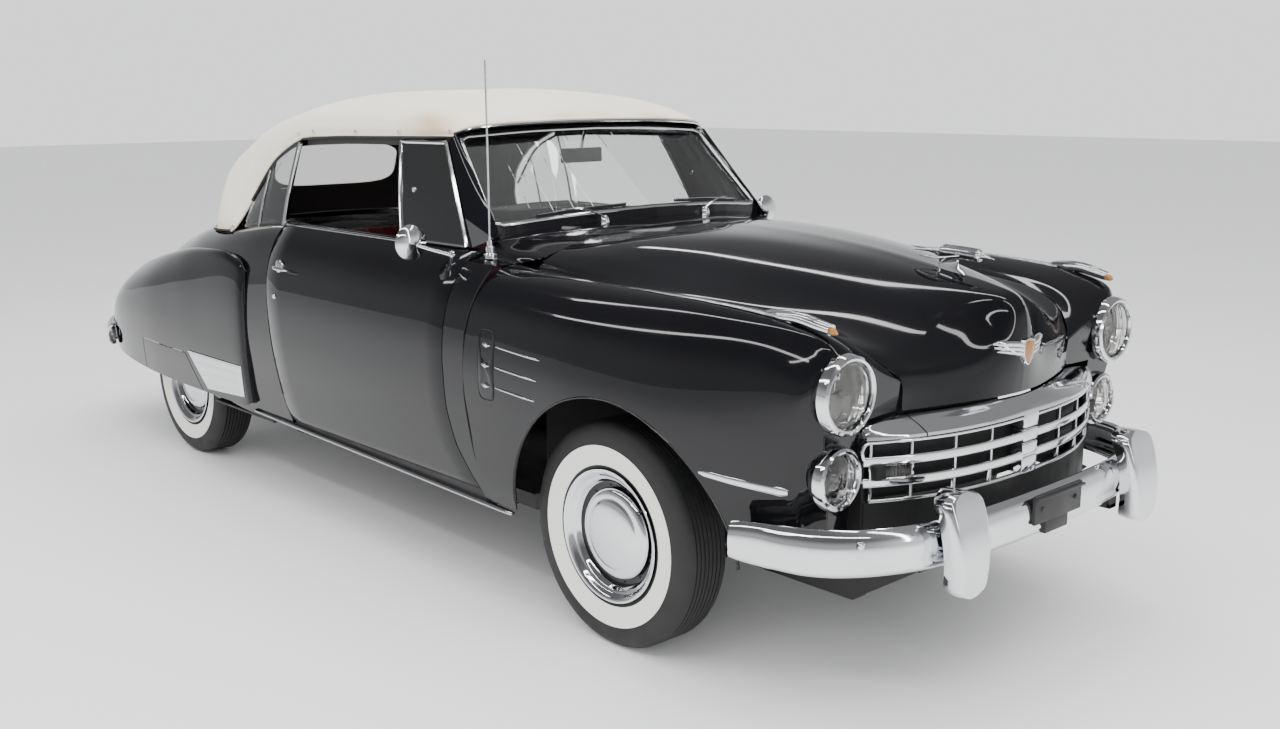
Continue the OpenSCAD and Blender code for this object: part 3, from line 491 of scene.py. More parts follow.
@dataclass(frozen=True)
class Finish:
    """A surface finish of this car.

    Fields give the two colours that mottle, the roughness range, and the bump.
    """

    name: str
    first: tuple
    second: tuple
    rough: tuple = (0.2, 0.35)
    scale: float = 6.0
    spread: float = 0.4
    metallic: float = 0.0
    coat: float = 0.0
    bump: float = 0.02
    bump_distance: float = 0.0004
    threads: float = 0.0
    sheen: float = 0.0
    specular: float = 0.5
    # Colour of painted shade, mixed in by a per-point attribute of the mesh.
    stain: Optional[tuple] = None

    def material(self) -> Material:
        """Builds the finish's material."""
        mat, tree, shader = blank_material(self.name)
        marks = add_node(tree, "Group", {"Scale": self.scale, "Low": self.rough[0], "High": self.rough[1]},
            node_tree=MARKS)
        colour = add_node(tree, "Group", {"First": (*self.first, 1), "Second": (*self.second, 1),
            "Scale": self.scale,
            "Spread": self.spread}, node_tree=MOTTLE)["Color"]
        # Painted shade: the darker colour is mixed in by the mesh's per-point attribute.
        if self.stain:
            share = add_node(tree, "Attribute", {}, attribute_name="stain")["Fac"]
            colour = add_node(tree, "Mix", {"Factor": share, "A": colour, "B": (*self.stain, 1)},
                data_type="RGBA")["Result"]
        height = marks["Height"]
        if self.threads:
            height = add_node(tree, "Group", {"Scale": self.threads}, node_tree=WEAVE)["Height"]
        bump = add_node(tree, "Bump", {"Strength": self.bump, "Distance": self.bump_distance,
            "Height": height})
        feed(tree, shader, {"Metallic": self.metallic, "Coat Weight": self.coat, "Coat Roughness": 0.03,
            "Sheen Weight": self.sheen, "Specular IOR Level": self.specular, "Roughness": marks["Value"],
            "Base Color": colour, "Normal": bump["Normal"]})
        return mat


@dataclass(frozen=True)
class Pane:
    """Clear or tinted glass."""

    name: str
    tint: tuple
    rough: float = 0.0
    transmission: float = 1.0
    flutes: float = 0.0

    def material(self) -> Material:
        """Builds the glass, with moulded flutes if it has them."""
        mat, tree, shader = blank_material(self.name)
        marks = add_node(tree, "Group", {"Low": self.rough, "High": self.rough + 0.03}, node_tree=MARKS)
        feed(tree, shader, {"Base Color": (*self.tint, 1), "Transmission Weight": self.transmission,
            "IOR": GLASS_IOR,
            "Roughness": marks["Value"]})
        if self.flutes:
            where = add_node(tree, "TexCoord", {})["Object"]
            wave = add_node(tree, "TexWave", {"Scale": self.flutes, "Vector": where}, bands_direction="Y")
            bump = add_node(tree, "Bump", {"Strength": 0.35, "Distance": 0.002, "Height": wave["Fac"]})
            feed(tree, shader, {"Normal": bump["Normal"]})
        return mat


class Paints:
    """Every finish on the car, made once."""

    def __init__(self) -> None:
        """Builds the materials."""
        make = lambda *a, **k: Finish(*a, **k).material()
        self.enamel = make("gloss_black_enamel", (0.0035, 0.0035, 0.0045), (0.006, 0.006, 0.0075),
            rough=(0.05, 0.11), scale=3, coat=0.6, bump=0.01, specular=0.1)
        self.chrome = make("chrome_plate", (0.78, 0.79, 0.81), (0.68, 0.69, 0.71), rough=(0.04, 0.12),
            scale=12, metallic=1.0, bump=0.012)
        self.steel = make("satin_chassis_black", (0.018, 0.018, 0.019), (0.05, 0.045, 0.04),
            rough=(0.45, 0.7), scale=9, bump=0.15)
        self.rubber = make("tyre_rubber", (0.011, 0.011, 0.012), (0.025, 0.024, 0.023), rough=(0.55, 0.75),
            scale=14, bump=0.12)
        self.whitewall = make("whitewall_rubber", (0.78, 0.77, 0.73), (0.66, 0.64, 0.58), rough=(0.42, 0.6),
            scale=9, spread=0.35, bump=0.06)
        # The cloth's darker brown is painted shade, placed by a per-point attribute.
        self.canvas = make("cream_canvas", (0.80, 0.745, 0.625), (0.66, 0.57, 0.42), rough=(0.75, 0.95),
            scale=2.6, spread=0.3, stain=(0.50, 0.33, 0.15), bump=0.35, bump_distance=0.0006, threads=320,
            sheen=0.25)
        self.lining = make("dark_headlining", (0.035, 0.03, 0.028), (0.05, 0.043, 0.04), rough=(0.8, 0.95),
            scale=5, bump=0.3, threads=420)
        self.binding = make("cream_binding", (0.70, 0.64, 0.52), (0.55, 0.47, 0.35), rough=(0.6, 0.8),
            scale=20, bump=0.3, threads=700)
        self.seat = make("maroon_upholstery", (0.10, 0.012, 0.014), (0.065, 0.008, 0.01), rough=(0.38, 0.55),
            scale=7, bump=0.18, threads=500, sheen=0.1)
        self.carpet = make("dark_carpet", (0.03, 0.012, 0.012), (0.02, 0.01, 0.01), rough=(0.9, 1.0),
            scale=30, bump=0.5, bump_distance=0.002)
        self.seal = make("black_rubber_seal", (0.012, 0.012, 0.012), (0.02, 0.02, 0.02), rough=(0.5, 0.65),
            scale=20, bump=0.05)
        self.casting = make("engine_casting", (0.03, 0.045, 0.03), (0.07, 0.06, 0.05), rough=(0.5, 0.75),
            scale=12, bump=0.3)
        self.heat = make("exhaust_steel", (0.16, 0.13, 0.11), (0.28, 0.16, 0.09), rough=(0.5, 0.8), scale=14,
            metallic=0.8, bump=0.2)
        self.shadow = make("grille_shadow_black", (0.004, 0.004, 0.004), (0.007, 0.007, 0.007),
            rough=(0.5, 0.7), scale=8, bump=0.02)
        self.red = make("red_lens", (0.35, 0.008, 0.008), (0.26, 0.006, 0.006), rough=(0.06, 0.12), scale=20,
            coat=1.0)
        self.amber = make("amber_lens", (0.30, 0.12, 0.02), (0.20, 0.075, 0.012), rough=(0.08, 0.16),
            scale=30, coat=1.0)
        self.plastic = make("ivory_dial", (0.5, 0.48, 0.42), (0.42, 0.4, 0.35), rough=(0.3, 0.45), scale=12)
        self.glass = Pane("window_glass", (0.95, 0.97, 0.96)).material()
        self.tinted = Pane("tinted_vent_glass", (0.02, 0.021, 0.021), transmission=0.4).material()
        self.grip = make("dark_wheel_plastic", (0.012, 0.011, 0.011), (0.02, 0.018, 0.017), rough=(0.25, 0.4),
            scale=10, bump=0.03)
        self.vinyl = Pane("clear_vinyl", (0.90, 0.90, 0.88), rough=0.03).material()
        self.lens = Pane("lamp_glass", (0.97, 0.97, 0.93), rough=0.01, transmission=1.0, flutes=9).material()


PAINTS = Paints()


# ---- body lines

REAR_AXLE, AXLE_Z, LAMP_Z = -1463.0, 350.0, 902.0
REAR_WELL_R, DOOR_GAP, LID_GAP = 405.3, 2.5, 5.0
HEADLAMP, FOG_LAMP = (2348.0, 680.0, LAMP_Z), (2318.0, 672.0, 671.0)
DOOR_FRONT = [(360, 1010), (420, 955), (520, 885), (640, 848), (800, 836), (1000, 843), (1150, 850)]
DOOR_REAR = [(360, -285), (420, -308), (520, -335), (740, -372), (1000, -405), (1150, -432)]
FENDER_REAR = [(340, 1050), (500, 985), (700, 955), (900, 958), (1040, 985), (1150, 1010)]


def side_y(z: float) -> float:
    """Half width of the body side at height z."""
    if z > 740:
        return 888 - 128 * ((z - 740) / 405) ** 3.4
    return 888 - 40 * ((740 - z) / 395) ** 2


@dataclass
class FrontEnd:
    """Front fenders, hood and scuttle.

    The rows are stations along the car. Fender rows run from the hood seam outwards and down, hood rows from
    the middle out to the seam.
    """

    arch_centre: tuple = (1630.0, 345.0)
    arch_radius: float = 452.0
    seam = [
        (1092, 678, 1108), (1300, 652, 1094), (1524, 631, 1079), (1819, 592, 1062), (2094, 558, 1036),
        (2236, 522, 994), (2301, 472, 945), (2338, 430, 900)]
    fender_rows = [
        (948, [(692, 1112), (725, 1112), (770, 1100), (815, 1070), (862, 987), (886, 850), (887, 700),
            (869, 450), (851, 350)]),
        (1092, [(681, 1108), (718, 1109), (765, 1100), (814, 1068), (862, 987), (886, 850), (888, 700),
            (870, 450), (852, 352)]),
        (1300, [(655, 1094), (700, 1104), (755, 1101), (809, 1066), (860, 985), (886, 850), (888, 700),
            (871, 455), (855, 362)]),
        (1524, [(634, 1079), (683, 1097), (742, 1102), (802, 1066), (857, 980), (884, 850), (888, 700),
            (874, 480), (860, 395)]),
        (1819, [(595, 1062), (650, 1088), (728, 1100), (790, 1063), (844, 968), (870, 832), (870, 690),
            (852, 520), (840, 430)]),
        (2094, [(561, 1036), (617, 1066), (712, 1087), (774, 1050), (820, 948), (836, 812), (827, 680),
            (802, 540), (787, 430)]),
        (2236, [(525, 994), (588, 1032), (700, 1067), (757, 1034), (802, 936), (808, 802), (788, 670),
            (753, 545), (727, 430)]),
        (2301, [(475, 945), (550, 985), (690, 1040), (742, 1004), (784, 915), (784, 800), (758, 680),
            (726, 560), (703, 440)], 0.1),
        (2338, [(433, 900), (520, 935), (645, 1000), (702, 984), (734, 910), (732, 800), (706, 680),
            (676, 560), (654, 450)], 0.12)]
    hood_rows = [
        [(1092, 0, 1212), (1092, 240, 1207), (1092, 440, 1188), (1092, 570, 1162), (1092, 640, 1134)],
        [(1330, 0, 1221), (1325, 230, 1213), (1318, 420, 1189), (1310, 540, 1154), (1303, 612, 1118)],
        [(1600, 0, 1214), (1590, 215, 1205), (1575, 385, 1174), (1555, 500, 1130), (1538, 585, 1095)],
        [(1880, 0, 1190), (1872, 180, 1180), (1860, 330, 1148), (1845, 450, 1099), (1830, 537, 1068)],
        [(2140, 0, 1152), (2135, 130, 1141), (2126, 245, 1106), (2115, 355, 1057), (2104, 465, 1030)],
        [(2330, 0, 1119), (2322, 80, 1106), (2305, 165, 1066), (2285, 270, 1011), (2260, 400, 984)],
        [(2428, 0, 1084), (2417, 45, 1067), (2391, 110, 1010), (2365, 205, 957), (2335, 335, 935)],
        [(2456, 0, 990), (2450, 35, 976), (2433, 90, 945), (2408, 170, 920), (2376, 290, 904)],
        [(2446, 0, 819), (2443, 50, 819), (2434, 110, 818), (2416, 190, 818), (2384, 300, 817),
            (2343, 424, 816)]]
    scuttle_rows = [
        [(856, 786, 1117), (858, 724, 1132), (840, 660, 1172), (852, 500, 1203), (885, 260, 1216),
            (900, 0, 1219)],
        [(905, 786, 1116), (905, 712, 1122), (900, 640, 1158), (925, 500, 1195), (945, 260, 1214),
            (955, 0, 1217)],
        [(985, 786, 1112), (988, 682, 1115), (1064, 628, 1138), (1078, 480, 1178), (1084, 260, 1205),
            (1085, 0, 1211)]]

    def fenders(self) -> Mesh:
        """Both front fenders in one piece each, with their lamp faces, arches and lamp openings."""
        grid = surface_grid(stations(self.fender_rows), 8, 6)
        edge = [(2338 + 0.12 * (p[2] - LAMP_Z), p[1], p[2]) for p in grid[-1]]
        grid[-1] = np.array(edge)
        face = edge + [(2338 + 0.12 * (z - LAMP_Z), y, z) for y, z in ((586, 450), (586, 812), (433, 816))]
        obj = sheet_metal("front_fender_panels", [grid], mirror=True, extra=[face])
        cutters = []
        line = [(lookup(z, FENDER_REAR), z) for z in range(330, 1121, 20)]
        for s in (1, -1):
            y0, y1 = sorted((660 * s, 960 * s))
            cutters.append(cylinder_cutter((self.arch_centre[0], 780 * s, self.arch_centre[1]),
                self.arch_radius, 400))
            for (x, y, z), radius in ((HEADLAMP, 90), (FOG_LAMP, 74)):
                cutters.append(cylinder_cutter((x - 10, y * s, z), radius, 140, "X"))
            cutters.append(prism("rear_cut", [(900, 320)] + line + [(900, 1160)], y0, y1))
        smooth(carve(obj, cutters), 52)
        return fit(dress(obj, PAINTS.enamel), Body.ROOT, ["front_fenders"])

    def arch_lips(self) -> None:
        """Rolled lips round the front arches."""
        for s in (1, -1):
            pts = []
            for a in np.linspace(-20, 200, 45):
                x = self.arch_centre[0] + (self.arch_radius + 3) * cos(radians(a))
                z = self.arch_centre[1] + (self.arch_radius + 3) * sin(radians(a))
                if z > 352:
                    y = fender_side_y(x, z)
                    pts.append((x, (y - 3.5) * s, z))
            lip = tube(f"arch_lip_{'left' if s > 0 else 'right'}", pts, 6.5, n=1, sides=10, flat=0.7)
            fit(dress(lip, PAINTS.enamel), Body.ROOT)

    def hood(self) -> Mesh:
        """The hood with its tall prow."""
        ends = [[(x, y - 2.5, z)] for x, y, z in self.seam]
        rows = [r + (ends[i] if i < len(ends) else []) for i, r in enumerate(self.hood_rows)]
        half = surface_grid(rows, 8, 7)
        grid = np.concatenate([half[:, :0:-1] * ACROSS, half], axis=1)
        obj = sheet_metal("hood_panel", [grid])
        return fit(dress(obj, PAINTS.enamel), Body.HOOD, ["hood"])

    def cowl(self) -> None:
        """Cowl sides, scuttle and firewall."""
        zs = np.linspace(350, 1118, 34)
        side = np.array([[((lookup(z, DOOR_FRONT) + DOOR_GAP) * (1 - t) + (lookup(z, FENDER_REAR) - 0.8) * t,
            side_y(z), z) for z in zs] for t in (1, 0.5, 0)])
        scuttle = closed_over(surface_grid(self.scuttle_rows, 8, 8)[::-1])
        side_other = (side * ACROSS)[::-1]
        obj = dress(sheet_metal("cowl_panels", [side, side_other, scuttle]), PAINTS.enamel)
        wall = [(-620, 337), (620, 337), (620, 1125), (480, 1170), (260, 1190), (40, 1202), (-40, 1202),
            (-260, 1190), (-480, 1170), (-620, 1125)]
        n = len(wall)
        plate = new_mesh("firewall_plate", [(1044, y, z) for y, z in wall] + [(1052, y, z) for y, z in wall],
            [list(range(n))[::-1], [n + k for k in range(n)]] + [[k, (k + 1) % n, (k + 1) % n + n, k + n]
                for k in range(n)])
        weld(plate, 1e-6, outward=True)
        dress(bevelled(plate, 2), PAINTS.steel)
        fit(join("cowl_and_firewall", [obj, plate]), Body.ROOT, ["cowl"])

    def seams(self) -> None:
        """Dark joint between cowl and fender, and the pan under the lamps."""
        joint = [(lookup(z, FENDER_REAR) - 0.4, side_y(z) - 0.6, z) for z in range(352, 1110, 18)]
        parts = [dress(tube("fender_joint", joint, 2.2, n=1, sides=6), PAINTS.shadow)]
        outline = [(2334, 578), (2322, 640), (2288, 656), (2236, 722), (2094, 780), (2030, 784), (2030, 578)]
        rings = [[(x, y, z) for x, y in outline] for z in (444, 440)]
        parts.append(dress(loft("splash_pan", rings), PAINTS.steel))
        fit(join("front_joints_and_pan", both(parts)))

    def posts(self) -> None:
        """Panels between the windshield posts and the vent windows, with bright corners at the foot."""
        rows = []
        for t in np.linspace(0, 1, 12):
            a = np.array((798, 728, 1150)) * (1 - t) + np.array((548, 633, 1498)) * t
            b = np.array((866, 654, 1190)) * (1 - t) + np.array((548, 598, 1512)) * t
            rows.append([b + (a - b) * u + np.array([9 * sin(pi * u), 0, 4 * sin(pi * u)])
                for u in np.linspace(0, 1, 7)])
        panel = dress(sheet_metal("post_panel", [np.array(rows)], thick=3), PAINTS.enamel)
        g = np.array(rows)
        tri = [tuple(g[0, 6] + np.array([6, 1, 4])), tuple(g[0, 2] + np.array([8, 2, 4])),
            tuple(g[3, 6] + np.array([4, 3, 0]))]
        corner = new_mesh("post_corner", tri + [tuple(np.array(p) - np.array([4, 3, 2])) for p in tri],
            [(0, 1, 2), (5, 4, 3), (0, 3, 4, 1), (1, 4, 5, 2), (2, 5, 3, 0)])
        weld(corner, 1e-6, outward=True)
        dress(corner, PAINTS.chrome)
        fit(join("windshield_post_panels", both([panel, corner])))

    def build(self) -> None:
        """Builds the front end."""
        self.seams()
        self.posts()
        self.fenders()
        self.arch_lips()
        self.hood()
        self.cowl()


def width_at(rows: list, below: float, x: float, z: float) -> float:
    """Half width at x and z of a fender's side, from its rows' points below a height."""
    widths = []
    for row in rows:
        line = curve(row[1], 6)
        low = line[line[:, 1] < below]
        order = np.argsort(low[:, 1])
        widths.append(float(np.interp(z, low[order, 1], low[order, 0])) if len(low) > 1 else line[0, 0])
    xs = np.array([row[0] for row in rows])
    order = np.argsort(xs)
    return float(np.interp(x, xs[order], np.array(widths)[order]))


def fender_side_y(x: float, z: float) -> float:
    """Half width of the front fender's side at x and z."""
    return width_at(FrontEnd.fender_rows, 1060, x, z)


@dataclass
class RearBody:
    """Rear quarters, deck, trunk lid, rear fenders and skirts.

    quarter_front is the edge beside the doors; the rows run from the sill up and over to the middle.
    """

    quarter_front = [
        (-280, 846, 345), (-331, 873, 500), (-375, 888, 740), (-404, 865, 985),
        (-437, 760, 1143), (-437, 600, 1150), (-437, 300, 1156), (-437, 0, 1158)]
    rows = [
        (-700, [(846, 345), (868, 500), (880, 740), (852, 960), (760, 1112), (600, 1132), (300, 1142),
            (0, 1145)]),
        (-1000, [(828, 345), (855, 500), (862, 740), (830, 940), (748, 1072), (600, 1102), (300, 1118),
            (0, 1122)]),
        (-1300, [(795, 350), (828, 500), (835, 720), (800, 910), (705, 1042), (560, 1080), (290, 1100),
            (0, 1105)]),
        (-1520, [(760, 356), (795, 500), (800, 705), (762, 882), (662, 1000), (520, 1044), (268, 1070),
            (0, 1077)]),
        (-1720, [(720, 365), (755, 500), (760, 692), (720, 852), (612, 962), (478, 1008), (250, 1037),
            (0, 1045)]),
        (-1930, [(670, 375), (700, 500), (702, 668), (662, 810), (560, 905), (430, 950), (225, 980),
            (0, 988)]),
        (-2170, [(605, 395), (632, 500), (632, 630), (592, 740), (495, 820), (380, 860), (200, 888),
            (0, 896)]),
        (-2350, [(540, 410), (562, 490), (560, 580), (522, 660), (435, 722), (335, 755), (175, 778),
            (0, 786)]),
        (-2440, [(480, 420), (498, 470), (495, 530), (462, 578), (385, 615), (295, 636), (155, 650),
            (0, 655)]),
        (-2470, [(440, 425), (450, 445), (445, 470), (418, 492), (350, 512), (270, 524), (145, 533),
            (0, 536)])]
    fender_rows = [
        (-590, [(866, 953), (870, 938), (875, 900), (878, 820), (878, 700), (872, 550), (856, 400)]),
        (-597, [(876, 962), (880, 944), (887, 900), (893, 820), (895, 700), (892, 550), (878, 400)]),
        (-640, [(868, 990), (880, 978), (890, 945), (900, 850), (903, 710), (900, 550), (883, 385)]),
        (-780, [(844, 1012), (862, 1013), (884, 978), (900, 870), (904, 720), (900, 550), (881, 380)]),
        (-1000, [(822, 1003), (844, 1008), (872, 975), (896, 870), (902, 720), (898, 550), (878, 378)]),
        (-1260, [(785, 970), (812, 985), (852, 955), (890, 855), (900, 715), (896, 550), (874, 376)]),
        (-1600, [(732, 903), (760, 925), (812, 905), (870, 820), (890, 700), (888, 550), (868, 380)]),
        (-1940, [(672, 826), (704, 848), (752, 838), (822, 770), (855, 670), (858, 540), (845, 392)]),
        (-2200, [(615, 740), (646, 762), (690, 757), (762, 705), (802, 625), (808, 520), (798, 405)]),
        (-2370, [(565, 650), (596, 672), (632, 668), (690, 632), (725, 575), (732, 500), (725, 415)]),
        (-2425, [(530, 568), (570, 582), (600, 578), (635, 560), (655, 530), (660, 490), (655, 430)]),
        (-2445, [(590, 545), (600, 552), (606, 552), (612, 545), (616, 530), (616, 510), (612, 490)])]
    fine: int = 6

    def grid(self) -> np.ndarray:
        """The whole half surface of the rear body."""
        return surface_grid([self.quarter_front] + stations(self.rows), self.fine, self.fine)

    def shell(self) -> Mesh:
        """Quarters, deck and tail round the trunk lid."""
        g, f = self.grid(), self.fine
        first, last = 4 * f, 9 * f
        lid_col, deck = int(4.5 * f), int(3.5 * f)

        def keep(i: int, j: int) -> bool:
            """Cells outside the lid and the cabin."""
            if j < lid_col:
                return True
            return deck <= i < first or i >= last

        obj = sheet_metal("rear_body_shell", [g], mirror=True, keep=keep)
        carve(obj, [cylinder_cutter((REAR_AXLE, 700 * s, AXLE_Z), REAR_WELL_R, 400) for s in (1, -1)])
        return fit(dress(obj, PAINTS.enamel), Body.ROOT, ["rear_body"])

    def lid(self) -> Mesh:
        """The trunk lid with an even gap all round."""
        g, f = self.grid(), self.fine
        part = closed_over(g[4 * f : 9 * f + 1, int(4.5 * f) :]).copy()
        inner = part.copy()
        inner[0] += LID_GAP * unit_rows(part[1] - part[0])
        inner[-1] += LID_GAP * unit_rows(part[-2] - part[-1])
        inner[:, 0] += LID_GAP * unit_rows(part[:, 1] - part[:, 0])
        inner[:, -1] += LID_GAP * unit_rows(part[:, -2] - part[:, -1])
        obj = sheet_metal("trunk_lid_panel", [inner])
        return fit(dress(obj, PAINTS.enamel), Body.TRUNK, ["trunk_lid"])

    def fenders(self) -> None:
        """Pontoon rear fenders and their flush skirts."""
        g = surface_grid(stations(self.fender_rows), 6, 6)[::-1].copy()
        g[:, 0, 1] -= 9
        outline = [(-1712, 320), (-1674, 536), (-1172, 536), (-1005, 320)]
        skirt = [(-1706, 320), (-1669, 532), (-1177, 532), (-1012, 320)]
        obj = sheet_metal("rear_fender_panels", [g], mirror=True)
        skirts = twin(obj, "fender_skirt_panels")
        for panel, edge, how, node in ((obj, outline, "DIFFERENCE", "rear_fenders"),
                (skirts, skirt, "INTERSECT", "fender_skirts")):
            cutter = join("skirt_cutter", [prism("cutter", edge, 800, 960), prism("cutter", edge, -960,
                -800)])
            carve(panel, [cutter], how)
            fit(dress(panel, PAINTS.enamel), Body.ROOT, [node])

    def seams(self) -> None:
        """Welt between fender and body side."""
        g = surface_grid(stations(self.fender_rows), 3, 2)
        line = g[1:-2, 0] - np.array([0, 6, 1])
        for s in (1, -1):
            welt = tube(f"fender_welt_{'left' if s > 0 else 'right'}", line * np.array([1, s, 1]), 3.2, n=1,
                sides=8)
            fit(dress(welt, PAINTS.seal))

    def build(self) -> None:
        """Builds the rear body."""
        self.shell()
        self.lid()
        self.fenders()
        self.seams()


def unit_rows(v: np.ndarray) -> np.ndarray:
    """Each row of v at unit length."""
    return v / np.maximum(np.linalg.norm(v, axis=-1, keepdims=True), 1e-9)


@dataclass
class Doors:
    """Both doors: pressed skin, inner card, garnish rail, handle, vent window and mirror."""

    depth: float = 62.0
    low_z: float = 385.0
    belt_z: float = 1145.0
    handle: tuple = (-302.0, 997.0)
    key: tuple = (-322.0, 881.0)
    mirror_at: tuple = (677.0, 880.0, 1172.0)
    vent_rows = [
        [(780, 738, 1148), (655, 688, 1325), (534, 640, 1490)],
        [(400, 746, 1148), (330, 700, 1325), (262, 648, 1488)]]

    def shell(self) -> Mesh:
        """The left door's closed shell with a slot for the dropped glass."""
        zs = np.concatenate([np.linspace(self.low_z, 1040, 30), np.linspace(1055, self.belt_z, 8)])
        rows = []
        for t in np.linspace(1, 0, 13):
            rows.append([((lookup(z, DOOR_REAR) + DOOR_GAP) * (1 - t) + (lookup(z, DOOR_FRONT) - DOOR_GAP)
                * t, side_y(z), z) for z in zs])
        obj = sheet_metal("door_shell", [np.array(rows)], thick=0)
        modify(obj, "SOLIDIFY", thickness=self.depth * MM, offset=-1)
        points = obj.data.vertices
        n = len(points) // 2
        for k in range(n):
            points[k + n].co = points[k].co - Vector((0, self.depth * MM, 0))
        modify(obj, "BEVEL", width=0.0025, segments=2, limit_method="ANGLE", angle_limit=radians(60))
        carve(obj, [block("glass_slot", (-380, 725, 560), (400, 733, 1160))])
        return smooth(obj)

    def card(self) -> Mesh:
        """Upholstered inner card with pleats at the top."""
        pleats = 14
        rows = []
        for t in np.linspace(0, 1, 40):
            swell = 1.6 + 1.6 * cos(t * 2 * pi * pleats)
            row = []
            for z in np.linspace(430, 1085, 24):
                low, high = lookup(z, DOOR_REAR) + 25, lookup(z, DOOR_FRONT) - 25
                y = min(side_y(z), 890) - self.depth - 1.5 - swell * (1 if z > 640 else 0.2)
                row.append((low + (high - low) * t, y, z))
            rows.append(row)
        return dress(sheet_metal("door_card", [np.array(rows)], thick=3), PAINTS.seat)

    def vent(self) -> list:
        """Chrome frame, tinted pane and catch of the vent window."""
        g = surface_grid(self.vent_rows, 8, 8)
        edge = list(g[:, 0]) + list(g[-1, 1:]) + list(g[-2::-1, -1]) + list(g[0, -2:0:-1])
        edge = [p + np.array([0, -5, 5 if p[2] < 1160 else 0]) for p in edge]
        frame_bar = dress(tube("vent_frame", edge + [edge[0]], 7.5, n=1, sides=8, up=(0, 1, 0)),
            PAINTS.chrome)
        upright = dress(tube("vent_post", [g[-1, 0] + np.array([-8, -6, 4]), g[-1, 8] + np.array([-8, -6, 0]),
            g[-1, -1] + np.array([-8, -6, 0])], 8, n=4, sides=8), PAINTS.chrome)
        pane = dress(sheet_metal("vent_pane", [g - np.array([0, 3, 0])], thick=4), PAINTS.tinted)
        catch = dress(revolve("vent_catch", [(0, 8), (9, 7), (10, 0), (5, -4), (0, -4)],
            tuple(g[-3, 8] + np.array([0, -6, 0])), "Y", 20), PAINTS.chrome)
        return [frame_bar, upright, pane, catch]

    def mirror(self) -> list:
        """Round mirror with a domed back on a curved stalk."""
        x, y, z = self.mirror_at
        head = dress(revolve("mirror_head", [(0, -3), (54, -3), (57, -5), (60, -2), (59, 3), (54, 10),
            (42, 17), (24, 23), (10, 25.5), (0, 26)], (x - 12, y, z), "X", 56), PAINTS.chrome)
        stalk = dress(tube("mirror_stalk", [(x + 72, 772, 1126), (x + 66, 792, 1134), (x + 40, 832, 1148),
            (x + 16, 864, 1162), (x + 3, y - 4, 1170)], 6.5, n=5, taper=[1.8, 1.2, 1, 1, 1]), PAINTS.chrome)
        foot = dress(revolve("mirror_foot", [(0, 6), (10, 5), (17, 2), (19, -3), (0, -3)],
            (x + 72, 778, 1126), "Y", 28), PAINTS.chrome)
        return [head, stalk, foot]

    def fittings(self) -> list:
        """Handle, escutcheon, key button, belt moulding and inner garnish rail."""
        hx, hz = self.handle
        y = side_y(hz)
        plate = revolve("handle_escutcheon", [(0, 9), (12, 8), (22, 5), (27, 1), (28, -4), (0, -4)],
            (hx - 8, y + 2, hz), "Y", 32)
        lever = tube("handle_lever", [(hx - 8, y + 10, hz), (hx - 2, y + 26, hz), (hx + 30, y + 33, hz - 1),
            (hx + 78, y + 31, hz - 3), (hx + 104, y + 26, hz - 5)], 9,
            n=5, taper=[0.9, 1, 1.15, 0.85, 0.3], flat=0.75)
        key = revolve("key_button", [(0, 6), (7, 5), (11, 1), (11, -3), (0, -3)],
            (self.key[0], side_y(self.key[1]) + 1, self.key[1]), "Y", 24)
        z = self.belt_z
        belt = tube("belt_moulding", [(lookup(z, DOOR_REAR) + 6, side_y(z) - 3, z + 1.5), (0, side_y(z) - 3,
            z + 1.5), (398, side_y(z) - 3, z + 1.5)], 3.4, n=10, sides=8)
        rail = box_piece("garnish_rail", (-424, 690, z - 22), (800, 703, z + 2), bevel=4, segments=3)
        pull = tube("inner_handle", [(-120, 812, 930), (-122, 790, 930), (-60, 784, 926), (-20, 786, 922)],
            5.5, n=4)
        winder = tube("window_winder", [(230, 812, 820), (230, 790, 820), (262, 786, 850), (280, 786, 868)],
            5, n=4)
        knob = revolve("winder_knob", [(0, 18), (8, 16), (11, 8), (7, 0), (0, 0)], (284, 770, 872), "Y", 20)
        for p in (plate, lever, key, belt, pull, winder):
            dress(p, PAINTS.chrome)
        dress(rail, PAINTS.enamel)
        dress(knob, PAINTS.plastic)
        return [plate, lever, key, belt, rail, pull, winder, knob]

    def build(self) -> None:
        """Builds the left door, then the right one as its mirror image."""
        shell = dress(self.shell(), PAINTS.enamel)
        groups = {"door_panel": ([shell], "body_paint", "door"), "door_card_trim": ([self.card()],
            "seat_cloth", None),
            "vent_assembly": (self.vent(), "chrome", "vent_window"), "mirror_assembly": (self.mirror(),
                "chrome", "mirror"),
            "door_fittings": (self.fittings(), "chrome", None)}
        for name, (pieces, slot, node) in groups.items():
            left = join(f"{name}_left", pieces)
            right = mirrored(left, f"{name}_right")
            fit(left, Body.DOOR_LEFT, [f"{node}_left"] if node else [])
            fit(right, Body.DOOR_RIGHT, [f"{node}_right"] if node else [])


# ---- folding top


